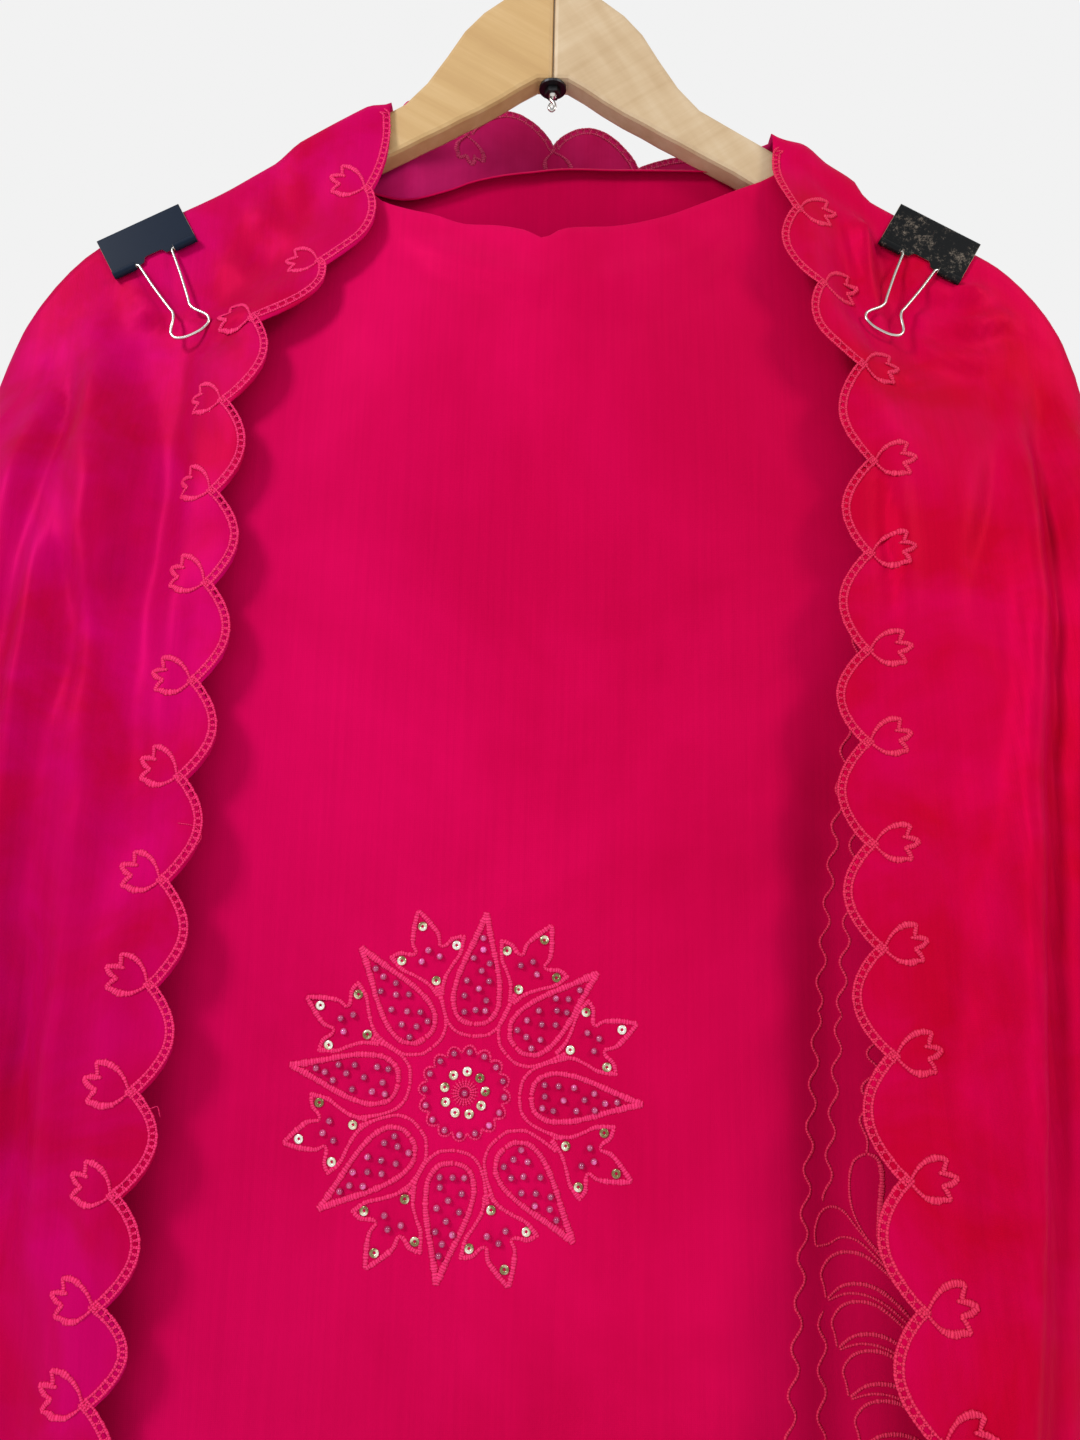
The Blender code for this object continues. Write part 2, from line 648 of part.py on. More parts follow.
def build():
    clear_scene()
    home = collection("dupatta_stole")
    cutters = collection("cutters")
    hanger_arm("left", home, cutters)
    hanger_arm("right", home, cutters)
    hook(home)
    turned_ring("washer", WASHER_RADIUS, WASHER_THICK, WASHER_TOP, home, "black", 20)
    turned_ring("nut", NUT_RADIUS, NUT_THICK, WASHER_TOP - WASHER_THICK - GAP, home, "black", 6)
    inner_stretch("front_stretch", FRONT_NECK, FRONT_ARMS, -1.0, FRONT_HEM, 16, home)
    inner_stretch("inner_back_stretch", BACK_NECK, BACK_ARMS, 1.0, INNER_BACK_HEM, 12, home)
    fall("left", home)
    fall("right", home)
    outer_back(home)
    clip("left", home)
    clip("right", home)


build()
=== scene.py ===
import math
import random
from bisect import bisect_right

import bmesh
import bpy
from mathutils import Matrix, Vector


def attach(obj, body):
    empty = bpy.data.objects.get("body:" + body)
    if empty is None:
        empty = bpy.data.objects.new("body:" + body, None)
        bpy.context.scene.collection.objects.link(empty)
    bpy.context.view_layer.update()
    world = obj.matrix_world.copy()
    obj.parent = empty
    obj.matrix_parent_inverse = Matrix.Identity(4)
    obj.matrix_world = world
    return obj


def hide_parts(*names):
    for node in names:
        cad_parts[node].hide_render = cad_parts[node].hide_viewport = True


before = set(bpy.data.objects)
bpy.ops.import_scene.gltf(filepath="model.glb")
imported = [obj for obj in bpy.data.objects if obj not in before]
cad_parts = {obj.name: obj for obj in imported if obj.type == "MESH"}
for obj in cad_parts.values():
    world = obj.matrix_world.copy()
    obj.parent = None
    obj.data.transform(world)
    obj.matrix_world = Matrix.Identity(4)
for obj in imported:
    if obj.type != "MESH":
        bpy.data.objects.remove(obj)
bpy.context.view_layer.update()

# ---------------------------------------------------------------- hanger arms
# Two mitred halves sawn from pale hardwood and sanded: the left half is straight in the grain and
# coloured darker and yellower, in part as painted shade on its face, which turns away from the
# light; the right half is paler with a curly figure across it.  They are the imported solids.
MM = 0.001


def new_material(name, rough, **constants):
    made = bpy.data.materials.new(name)
    made.use_nodes = True
    shader = made.node_tree.nodes["Principled BSDF"]
    shader.inputs["Roughness"].default_value = rough
    for socket, value in constants.items():
        shader.inputs[socket.replace("_", " ")].default_value = value
    return made, made.node_tree, shader


def add_node(tree, kind, **values):
    node = tree.nodes.new(kind)
    for name, value in values.items():
        if name in node.inputs:
            node.inputs[name].default_value = value
        else:
            setattr(node, name, value)
    return node


def on_piece(tree):
    """The places of the piece's own points."""
    return add_node(tree, "ShaderNodeTexCoord").outputs["Object"]


def fed(tree, source, kind, **values):
    """Adds a node that reads places from source; gives its mask, or the places it has moved."""
    node = add_node(tree, kind, **values)
    tree.links.new(source, node.inputs["Vector"])
    return node.outputs["Fac" if "Fac" in node.outputs else "Vector"]


def ramp(tree, source, stops):
    """Colours fed by source: stops are place and colour."""
    node = tree.nodes.new("ShaderNodeValToRGB")
    line = node.color_ramp
    while len(line.elements) < len(stops):
        line.elements.new(0.5)
    for element, (place, colour) in zip(line.elements, stops):
        element.position = place
        element.color = (*colour, 1.0)
    tree.links.new(source, node.inputs["Fac"])
    return node.outputs["Color"]


def mixed(tree, share, first, second):
    node = add_node(tree, "ShaderNodeMix", data_type="FLOAT")
    node.inputs[0].default_value = share
    tree.links.new(first, node.inputs[2])
    tree.links.new(second, node.inputs[3])
    return node.outputs[0]


def dented(tree, height, strength, distance):
    """A normal bent by the height."""
    bump = add_node(tree, "ShaderNodeBump", Strength=strength, Distance=distance)
    tree.links.new(height, bump.inputs["Height"])
    return bump.outputs["Normal"]


def finish_shader(tree, shader, colour, normal):
    tree.links.new(colour, shader.inputs["Base Color"])
    tree.links.new(normal, shader.inputs["Normal"])


def dress(piece, material):
    piece.data.materials.clear()
    piece.data.materials.append(material)


WOODS = {                    # grain turn in degrees, light, middle and dark colours, curl strength
    # The left half's darker colours are partly painted shade.
    "left": (-30.0, (0.62, 0.42, 0.200), (0.56, 0.36, 0.155), (0.51, 0.315, 0.13), 0.06),
    "right": (33.0, (0.64, 0.50, 0.33), (0.57, 0.42, 0.255), (0.49, 0.34, 0.19), 0.36),
}
for hand, (turn, light, middle, dark, curl) in WOODS.items():
    wood, tree, shader = new_material("wood_" + hand, 0.42, Coat_Weight=0.12, Coat_Roughness=0.3)
    turned = fed(tree, on_piece(tree), "ShaderNodeMapping", Rotation=(0.0, math.radians(turn), 0.0))
    along = fed(tree, turned, "ShaderNodeMapping", Scale=(9.0, 160.0, 160.0))
    across = fed(tree, turned, "ShaderNodeMapping", Scale=(150.0, 60.0, 22.0))
    grain = fed(tree, along, "ShaderNodeTexNoise", Scale=1.6, Detail=6.0, Roughness=0.62,
                Distortion=0.25)
    rings = fed(tree, along, "ShaderNodeTexNoise", Scale=0.55, Detail=2.0, Roughness=0.5)
    figure = fed(tree, across, "ShaderNodeTexNoise", Scale=1.0, Detail=2.0, Roughness=0.5)
    tone = ramp(tree, mixed(tree, curl, mixed(tree, 0.45, grain, rings), figure),
                ((0.32, dark), (0.50, middle), (0.66, light)))
    finish_shader(tree, shader, tone, dented(tree, grain, 0.12, 0.0004))
    dress(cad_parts["arm_" + hand], wood)

# ---------------------------------------------------------------- hook, washer and nut
# A bent and plated steel wire hook goes down a hole between the two halves and is riveted over a
# blackened washer at the underside.
HOOK_WIRE = 1.75
HOOK_INNER = 20.0
HOOK_NECK = 12.0
HOOK_TIP = 205.0
HOOK_STEM = (-134.5, -120.0, -100.0, -85.0)
BENT_WIRE = 0.85
BENT_TIP = (                 # the thin end bent over under the washer: x, y, z
    (0.8, 0.0, -133.0), (-0.9, -0.8, -136.0), (0.7, -1.3, -138.6), (1.2, -1.5, -141.2),
    (-0.2, -1.6, -142.9), (-1.5, -1.5, -141.4), (-0.8, -1.2, -139.2),
)


def rounded_line(points, steps):
    """A smooth line through the points, steps places to each stretch."""
    made = []
    for index in range(len(points) - 1):
        before = points[max(index - 1, 0)]
        first, second = points[index], points[index + 1]
        after = points[min(index + 2, len(points) - 1)]
        for step in range(steps):
            t = step / steps
            made.append(tuple(
                0.5 * (2.0 * b + (c - a) * t + (2.0 * a - 5.0 * b + 4.0 * c - d) * t * t
                       + (3.0 * b - a - 3.0 * c + d) * t * t * t)
                for a, b, c, d in zip(before, first, second, after)))
    made.append(tuple(points[-1]))
    return made


def made_piece(name, mesh, smooth=True):
    """The finished bmesh as an object in the scene."""
    data = bpy.data.meshes.new(name)
    mesh.to_mesh(data)
    mesh.free()
    if smooth:
        data.shade_smooth()
    piece = bpy.data.objects.new(name, data)
    bpy.context.scene.collection.objects.link(piece)
    return piece


def wire(name, points, radius, sides):
    """A round wire along the points in millimetres, with low domed ends."""
    mesh = bmesh.new()
    rows = len(points)
    bmesh.ops.create_grid(mesh, x_segments=rows + 1, y_segments=sides, size=0.5)
    lines = [Vector(p) for p in points]
    tangents = []
    for index in range(rows):
        along = lines[min(index + 1, rows - 1)] - lines[max(index - 1, 0)]
        tangents.append(along.normalized())
    side = tangents[0].orthogonal().normalized()
    sides_at = []
    for along in tangents:
        side = (side - along * side.dot(along)).normalized()
        sides_at.append(side.copy())
    for vertex in mesh.verts:
        row = round((vertex.co.x + 0.5) * (rows + 1))
        turn = round((vertex.co.y + 0.5) * sides) / sides * math.tau
        inner = min(max(row - 1, 0), rows - 1)
        along, out = tangents[inner], sides_at[inner]
        reach = radius if 0 < row < rows + 1 else 0.0
        push = radius * 0.25 * ((row == rows + 1) - (row == 0))
        around = out * math.cos(turn) + along.cross(out) * math.sin(turn)
        vertex.co = (lines[inner] + around * reach + along * push) * MM
    bmesh.ops.remove_doubles(mesh, verts=mesh.verts, dist=1e-6)
    bmesh.ops.recalc_face_normals(mesh, faces=mesh.faces)
    return made_piece(name, mesh)


def speckled(name, rough, stops, noise, dent=0.0, **constants):
    """A finish coloured by noise on the piece, which also dents it where dent is above 0."""
    made, tree, shader = new_material(name, rough, **constants)
    mask = fed(tree, on_piece(tree), "ShaderNodeTexNoise", **noise)
    tree.links.new(ramp(tree, mask, stops), shader.inputs["Base Color"])
    if dent > 0.0:
        tree.links.new(dented(tree, mask, dent, 0.0001), shader.inputs["Normal"])
    return made


def metal(name, colour, rough, scratch):
    dark = tuple(part * 0.90 for part in colour)
    return speckled(name, rough, ((0.35, dark), (0.65, colour)), {"Scale": 2600.0, "Detail": 2.0},
                    scratch, Metallic=1.0)


steel = metal("bright_steel", (0.72, 0.70, 0.67), 0.28, 0.05)
black_steel = metal("blackened_steel", (0.075, 0.075, 0.08), 0.42, 0.25)
radius = HOOK_INNER + HOOK_WIRE
swing = math.acos(HOOK_NECK / (radius + HOOK_NECK))
neck_z = -HOOK_INNER - (radius + HOOK_NECK) * math.sin(swing)
hook_line = [(0.0, 0.0, z) for z in (*HOOK_STEM, neck_z - 4.0)]
for step in range(12):
    angle = swing * step / 12.0
    hook_line.append((HOOK_NECK * (1.0 - math.cos(angle)), 0.0,
                      neck_z + HOOK_NECK * math.sin(angle)))
for step in range(61):
    angle = -swing + (math.radians(HOOK_TIP) + swing) * step / 60.0
    hook_line.append((radius * math.cos(angle), 0.0, -HOOK_INNER + radius * math.sin(angle)))
hook = wire("hook_wire", hook_line, HOOK_WIRE, 16)
dress(hook, steel)
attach(hook, "stole_on_hanger")
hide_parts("hook")
for node in ("washer", "nut"):
    dress(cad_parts[node], black_steel)
bent_tip = wire("bent_tip", rounded_line(BENT_TIP, 5), BENT_WIRE, 8)
dress(bent_tip, steel)
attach(bent_tip, "stole_on_hanger")

# ---------------------------------------------------------------- inner stretches of the stole
# Fine silk-like cloth hung over the arms in front and behind.  In front it is turned over at the
# neck into a soft cowl edge that droops between the arms.
ARM_ROWS = (                 # distance from the middle, top line, under line of the wood
    (0, -75, -129), (7, -75.8, -129), (15, -79, -134), (24, -85.5, -140.5), (34, -93.5, -147),
    (43, -104, -152), (51, -118, -157), (60, -132.5, -162), (70, -144, -168),
    (85, -153.5, -176.5), (101, -163.5, -187), (120, -176, -199), (135, -186, -208.5),
    (152, -197.5, -219.5), (179, -212.5, -234.5), (206, -227.5, -248.5), (211, -233, -249.5),
    (214.5, -240, -246),
)
CLOTH_THICK = 0.35
INNER_LIFT = 1.7
INNER_FACE = 6.9
OUTER_LIFT = 4.3
OUTER_FACE = 8.4
FRONT_SWELL = 14.0
BACK_SWELL = 13.0
SWELL_DROP = 150.0           # both stretches swell out over this height below the arms
LEAN = 0.020
FRONT_NECK = (               # free top edge of the front stretch: x, z
    (-99, -170.5), (-92.5, -177), (-86, -188), (-78, -197), (-66, -201.5), (-54, -204.5),
    (-38, -210.5), (-26, -211.5), (-12, -215), (-5, -219), (-2, -220.5), (1, -217.5), (7, -214.5),
    (29, -211), (52, -203.5), (71, -194.5), (88, -186.5), (99, -182), (106, -178), (112, -177),
)
BACK_NECK = (                # the same behind
    (-99, -170), (-86, -182), (-70, -185.5), (-49, -180), (-36, -174.5), (-13, -169), (8, -166.5),
    (32, -167.5), (54, -167.5), (74, -167.5), (98, -176), (112, -177),
)
FRONT_HEM = -1010.0
INNER_BACK_HEM = -1000.0
NECK_REACH = (-92.5, 105.5)  # the free neckline lies between these
INNER_HALF = 203.0
INNER_COLUMNS = 105
INNER_DROPS = 96
ARM_DROP = 7.0               # the cloth leaves the arm this far below its top line


def ease(value):
    value = min(max(value, 0.0), 1.0)
    return value * value * (3.0 - 2.0 * value)


def blend(first, second, share):
    return first + (second - first) * share


def smooth_table(rows):
    """Reads a table whose first column rises, along a smooth line that never overshoots."""
    rows = sorted(rows)
    places = [row[0] for row in rows]
    columns = list(zip(*[row[1:] for row in rows]))
    slopes = []
    for column in columns:
        steps = [(b - a) / (q - p) for a, b, p, q in zip(column, column[1:], places, places[1:])]
        inner = [2.0 * a * b / (a + b) if a * b > 0.0 else 0.0 for a, b in zip(steps, steps[1:])]
        slopes.append([steps[0], *inner, steps[-1]])

    def read(x):
        x = min(max(x, places[0]), places[-1])
        low = min(bisect_right(places, x) - 1, len(places) - 2)
        width = places[low + 1] - places[low]
        t = (x - places[low]) / width
        made = []
        for column, slope in zip(columns, slopes):
            made.append((2 * t ** 3 - 3 * t ** 2 + 1) * column[low]
                        + (t ** 3 - 2 * t ** 2 + t) * width * slope[low]
                        + (3 * t ** 2 - 2 * t ** 3) * column[low + 1]
                        + (t ** 3 - t ** 2) * width * slope[low + 1])
        return made

    return read


arm_line = smooth_table(ARM_ROWS)


def arm_top(x):
    return arm_line(abs(x))[0]


def arm_under(x):
    return arm_line(abs(x))[1]


def swell(x, z):
    """0 beside the arm, growing to 1 below it."""
    return ease((arm_under(x) - 3.0 - z) / SWELL_DROP)


def crease_height(creases, x, z):
    """Sum of soft ridges and troughs laid along short lines."""
    total = 0.0
    for line, height, half, (left, low, right, top) in creases:
        if not (left < x < right and low < z < top):
            continue
        best = 9.0
        for index in range(len(line) - 1):
            x0, z0 = line[index]
            dx, dz = line[index + 1][0] - x0, line[index + 1][1] - z0
            along = ((x - x0) * dx + (z - z0) * dz) / (dx * dx + dz * dz)
            along = min(max(along, 0.0), 1.0)
            away = math.hypot(x - x0 - dx * along, z - z0 - dz * along) / half
            if away < best:
                best = away
                place = (index + along) / (len(line) - 1)
        if best < 3.0:
            fade = ease(place / 0.25) * ease((1.0 - place) / 0.35)
            total += height * fade * math.exp(-best * best)
    return total


def prepared(creases):
    """Takes creases apart, and adds to each the box outside which it has died away.

    Each is: height (a trough below 0), half width, then x, z, x, z along its line.
    """
    made = []
    for height, half, *line in creases:
        xs, zs = line[::2], line[1::2]
        reach = 3.0 * half
        made.append((list(zip(xs, zs)), height, half,
                     (min(xs) - reach, min(zs) - reach, max(xs) + reach, max(zs) + reach)))
    return made


FRONT_CREASES = prepared((
    (2, 7, -88, -190, -60, -222, -20, -240, 20, -246),
    (-1.6, 6, -84, -196, -55, -236, -10, -256, 25, -258),
    (1.8, 8, 96, -190, 70, -222, 35, -240, 0, -244),
    (-1.4, 7, 99, -200, 75, -238, 40, -262, 5, -268),
    (1, 14, 100, -230, 70, -275, 30, -300, -10, -312),
    (1.1, 13, -100, -235, -70, -280, -35, -310, 0, -325),
    (1.2, 12, -60, -560, -64, -650, -58, -760, -70, -900),
    (-1.5, 10, -106, -520, -102, -600, -110, -720, -112, -900),
    (1.3, 15, 46, -420, 52, -560, 48, -700, 58, -930),
    (-1.6, 11, 88, -380, 84, -520, 90, -700, 84, -940),
    (1.2, 13, 0, -640, -6, -760, 4, -960),
    (0.7, 3, -96, -548, -80, -556, -62, -566),
    (-0.6, 3, -104, -562, -86, -572, -70, -575),
    (-6, 15, 120, -400, 117, -560, 113, -760, 113, -1010),
    (6.5, 26, -128, -240, -134, -330, -136, -600, -146, -1010),
))


def front_y(x, z):
    """Middle of the inner cloth in front of the hanger."""
    side = 1.0 - 0.45 * (x / 215.0) ** 2
    amount = swell(x, z)
    lean = LEAN * max(0.0, -z - 300.0) * amount
    ripple = 1.6 * math.cos(x / 21.0 + z / 160.0) + 1.1 * math.cos(x / 33.0 - z / 240.0)
    crease = crease_height(FRONT_CREASES, x, z)
    return -INNER_FACE - (FRONT_SWELL * side + ripple) * amount - lean - crease * ease(amount * 6.0)


def back_y(x, z):
    """Middle of the inner cloth behind the hanger."""
    side = 1.0 - 0.5 * (x / 215.0) ** 2
    ripple = 1.5 * math.cos(x / 25.0 + 1.0 + z / 210.0)
    return INNER_FACE + (BACK_SWELL * side + ripple) * swell(x, z)


# section of cloth laid over an arm, from its ridge down the face: share out, rise share, drop
OVER_ARM = (
    (0, 1, 0), (0.42, 1, 0), (0.72, 1, -0.25), (0.9, 0.7, -0.6), (1, 0.3, -1.6), (1, 0, -4),
    (1, 0, -7),
)


def cloth_mesh(columns, rows, point):
    """A grid of cloth moved onto its form."""
    mesh = bmesh.new()
    bmesh.ops.create_grid(mesh, x_segments=columns - 1, y_segments=rows - 1, size=0.5)
    for vertex in mesh.verts:
        column = round((vertex.co.x + 0.5) * (columns - 1))
        row = round((0.5 - vertex.co.y) * (rows - 1))
        vertex.co = Vector(point(column, row)) * MM
    return mesh


def finish_cloth(name, mesh):
    """The grid made one skin and given its thickness.  A second material goes on the inside."""
    bmesh.ops.remove_doubles(mesh, verts=mesh.verts, dist=0.00005)
    bmesh.ops.recalc_face_normals(mesh, faces=mesh.faces)
    piece = made_piece(name, mesh)
    wall = piece.modifiers.new("thickness", "SOLIDIFY")
    wall.thickness = CLOTH_THICK * MM
    wall.offset = 0.0
    wall.use_even_offset = False
    wall.material_offset = 1
    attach(piece, "stole_on_hanger")
    return piece


def inner_stretch(name, neck, side, hem, surface):
    """Over both arms, with a free neckline between them.  side is -1 in front, 1 behind."""
    read_neck = smooth_table(neck)
    ridge_rows = len(OVER_ARM)

    def point(column, row):
        x = -INNER_HALF + 2.0 * INNER_HALF * column / (INNER_COLUMNS - 1)
        on_arm = max(ease((NECK_REACH[0] - x) / 7.0), ease((x - NECK_REACH[1]) / 7.0))
        start = blend(read_neck(x)[0], arm_top(x) - ARM_DROP, on_arm)
        if row < ridge_rows:
            out, rise, drop = OVER_ARM[row]
            share = row / (ridge_rows - 1)
            free_z = start + 1.0 - 4.0 * (1.0 - share) ** 3 - share
            free_out = abs(surface(x, start)) - 4.0 * (1.0 - share) ** 2.2
            return (x, side * blend(free_out, INNER_FACE * out, on_arm),
                    blend(free_z, arm_top(x) + INNER_LIFT * rise + drop, on_arm))
        share = (row - ridge_rows + 1) / INNER_DROPS
        share = 0.5 * share + 0.5 * share * share
        z = start + (hem + 5.0 * math.cos(x / 47.0) - start) * share
        return x, surface(x, z), z

    return finish_cloth(name, cloth_mesh(INNER_COLUMNS, ridge_rows + INNER_DROPS, point))


front = inner_stretch("front_cloth", FRONT_NECK, -1.0, FRONT_HEM, front_y)
inner_back = inner_stretch("inner_back_cloth", BACK_NECK, 1.0, INNER_BACK_HEM, back_y)
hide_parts("front_stretch")
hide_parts("inner_back_stretch")


def silk_group():
    """Slubs and weave shared by every stretch: masks for colour and a normal."""
    group = bpy.data.node_groups.new("silk_weave", "ShaderNodeTree")
    for name, way, kind in (("Cloud Size", "INPUT", "Float"), ("Slub", "OUTPUT", "Float"),
                            ("Cloud", "OUTPUT", "Float"), ("Normal", "OUTPUT", "Vector")):
        group.interface.new_socket(name, in_out=way, socket_type="NodeSocket" + kind)
    start = group.nodes.new("NodeGroupInput")
    end = group.nodes.new("NodeGroupOutput")
    place = on_piece(group)
    warp = fed(group, place, "ShaderNodeMapping", Scale=(640.0, 60.0, 16.0))
    slub = fed(group, warp, "ShaderNodeTexNoise", Scale=1.0, Detail=3.0, Roughness=0.6)
    cloud = fed(group, place, "ShaderNodeTexNoise", Detail=4.0, Roughness=0.6, Distortion=0.4)
    group.links.new(start.outputs["Cloud Size"], cloud.node.inputs["Scale"])
    weave = add_node(group, "ShaderNodeMath", operation="MULTIPLY")
    for socket, direction in zip(weave.inputs, ("X", "Z")):
        wave = fed(group, place, "ShaderNodeTexWave", Scale=430.0, Distortion=0.35,
                   bands_direction=direction)
        group.links.new(wave, socket)
    height = add_node(group, "ShaderNodeMath", operation="ADD")
    group.links.new(weave.outputs[0], height.inputs[0])
    group.links.new(slub, height.inputs[1])
    group.links.new(slub, end.inputs["Slub"])
    group.links.new(cloud, end.inputs["Cloud"])
    group.links.new(dented(group, height.outputs[0], 0.10, 0.0002), end.inputs["Normal"])
    return group


silk_weave = silk_group()


def silk(name, deep, bright, satin=0.06, sheen=0.15, sheen_tint=(0.50, 0.0, 0.25), clouds=7.0,
         left=(0.94, 1.0, 1.0), right=(0.86, 1.0, 0.54)):
    """Cloth mottled in clouds between a deep and a bright colour, and redder toward its right side.

    The clouds are partly the silk's shot colour and partly painted sheen and shade, set at random
    places. The side tint is painted light: a cooler light on the left, and a warmer light with
    painted shade on the right.
    satin is how much of its gloss takes the colour, and more clouds make the mottling finer.
    left and right are what the colour is multiplied by at each side, as painted light.
    """
    made, tree, shader = new_material(name, 0.46, Metallic=satin, Specular_IOR_Level=0.04,
                                      Sheen_Weight=sheen, Sheen_Roughness=0.40)
    shader.inputs["Specular Tint"].default_value = (1.0, 0.0, 0.42, 1.0)
    shader.inputs["Sheen Tint"].default_value = (*sheen_tint, 1.0)
    weave = add_node(tree, "ShaderNodeGroup", node_tree=silk_weave)
    weave.inputs["Cloud Size"].default_value = clouds
    # Clouds between the deep and bright colours: partly the silk's shot colour, partly painted
    # sheen and shade at random places.
    colour = ramp(tree, weave.outputs["Cloud"], ((0.36, deep), (0.64, bright)))
    slub = ramp(tree, weave.outputs["Slub"], ((0.30, (0.94, 0.94, 0.94)), (0.70, (1.0, 1.0, 1.0))))
    apart = add_node(tree, "ShaderNodeSeparateXYZ")
    tree.links.new(on_piece(tree), apart.inputs["Vector"])
    across = add_node(tree, "ShaderNodeMapRange")
    across.inputs["From Min"].default_value = -0.22
    across.inputs["From Max"].default_value = 0.22
    tree.links.new(apart.outputs["X"], across.inputs["Value"])
    # Painted light: the colour is tinted by its place across the piece, bluer on the left and
    # redder on the right, for a cool light on the left and a warm light with painted shade on the
    # right.
    painted_side_light = ramp(tree, across.outputs["Result"],
                 ((0.0, left), (0.5, (0.97, 1.0, 0.78)), (1.0, right)))
    for tint in (slub, painted_side_light):
        both = add_node(tree, "ShaderNodeMix", data_type="RGBA", blend_type="MULTIPLY")
        both.inputs[0].default_value = 1.0
        tree.links.new(colour, both.inputs[6])
        tree.links.new(tint, both.inputs[7])
        colour = both.outputs[2]
    finish_shader(tree, shader, colour, weave.outputs["Normal"])
    return made


dress(front, silk("front_silk", (0.57, 0.0015, 0.074), (0.68, 0.002, 0.104)))
# The inner back is the same silk as the front, coloured darker as painted shade for its place
# behind the hanger.
dress(inner_back, silk("inner_back_silk_painted_shade", (0.46, 0.001, 0.058), (0.54, 0.001, 0.074)))

# ---------------------------------------------------------------- outer stretch of the stole
# One wide stretch with scalloped edges: its two falls hang in front of the arms, it turns round
# both sides, and behind the hanger's neck its scalloped edge stands up as a collar.
SCALLOP = 40.0
SCALLOP_RISE = 10.0
SCALLOP_ROUND = 0.9          # below 1 the scallops are more squarely rounded
TOP_SCALLOP = 0.3            # the first scallop stands out only this share as far
SCALLOP_END = 0.999          # a stitched outline stops just short of the next cusp
SCALLOP_STEPS = 7
SCALLOP_REACH = 0.35         # share of a fall's width over which its rows lose the scallops
FALL_HEM = {"left": -1108.0, "right": -1122.0}
EDGE_DRIFT = {"left": -0.030, "right": 0.006}
SIDE_ROUND = 15.0
SIDE_STEP = 8.0
SIDE_SPLAY = 0.3
SIDE_X = {"left": 252.0, "right": 247.0}
SIDE_HANG = {"left": 257.0, "right": 250.0}
# places along the fall: share of its width, turn round the side, ridge x, ridge z past the arm
FALL_COLUMNS = {
    "left": (
        (0, 0, 76, 0), (0.12, 0, 90, 0), (0.25, 0, 106, 0), (0.39, 0, 120, 0), (0.54, 0, 135, 0),
        (0.7, 0, 152, 0), (0.85, 0, 179, -208), (1, 0, 207, -222.5), (1, 45, 233, -250),
        (1, 90, 247.5, -300),
    ),
    "right": (
        (0, 0, 103, 0), (0.12, 0, 112, 0), (0.25, 0, 120, 0), (0.39, 0, 135, 0),
        (0.54, 0, 152, 0), (0.7, 0, 168, 0), (0.85, 0, 186, -210), (1, 0, 206, -223.2),
        (1, 45, 229, -245), (1, 90, 241, -292),
    ),
}
FALL_EDGE = {                # cusps of the scalloped front edges: x, z, y
    "left": (
        (-76, -152, -8.4), (-82, -194, -14), (-100, -235, -20), (-126, -267, -26),
        (-135, -308, -31), (-135.5, -350, -34), (-134.5, -390, -35), (-136.5, -431, -37),
        (-138, -470, -39), (-141, -510, -41), (-142, -549, -43), (-144.5, -587, -44),
        (-148, -623, -44), (-150.5, -660, -44), (-151.5, -692, -44),
    ),
    "right": (
        (103, -169, -8.4), (109.5, -204, -20), (118, -245, -26), (133, -285, -30),
        (135, -330, -32), (132, -371, -34), (128.5, -413, -37), (126, -451, -41),
        (125.5, -491, -44), (126.5, -530, -48), (128, -568, -52), (129, -609, -60),
        (130.5, -649, -68), (131.5, -686, -76),
    ),
}
FALL_FOLDS = {               # share of the width, share at the hem, height, half width, z it begins
    "left": (
        (0.34, 0.42, 7, 0.1, -300), (0.68, 0.72, 12, 0.09, -285), (0.95, 1.02, 6, 0.08, -330),
    ),
    "right": (
        (0.42, 0.4, 7, 0.11, -340), (0.96, -0.22, 15, 0.18, -268), (1.02, 0.8, 8, 0.12, -320),
    ),
}
FALL_BASE = {"left": 2.0, "right": 19.0}
FALL_AWAY = 12.5             # the falls hang this far off the inner cloth below the arms
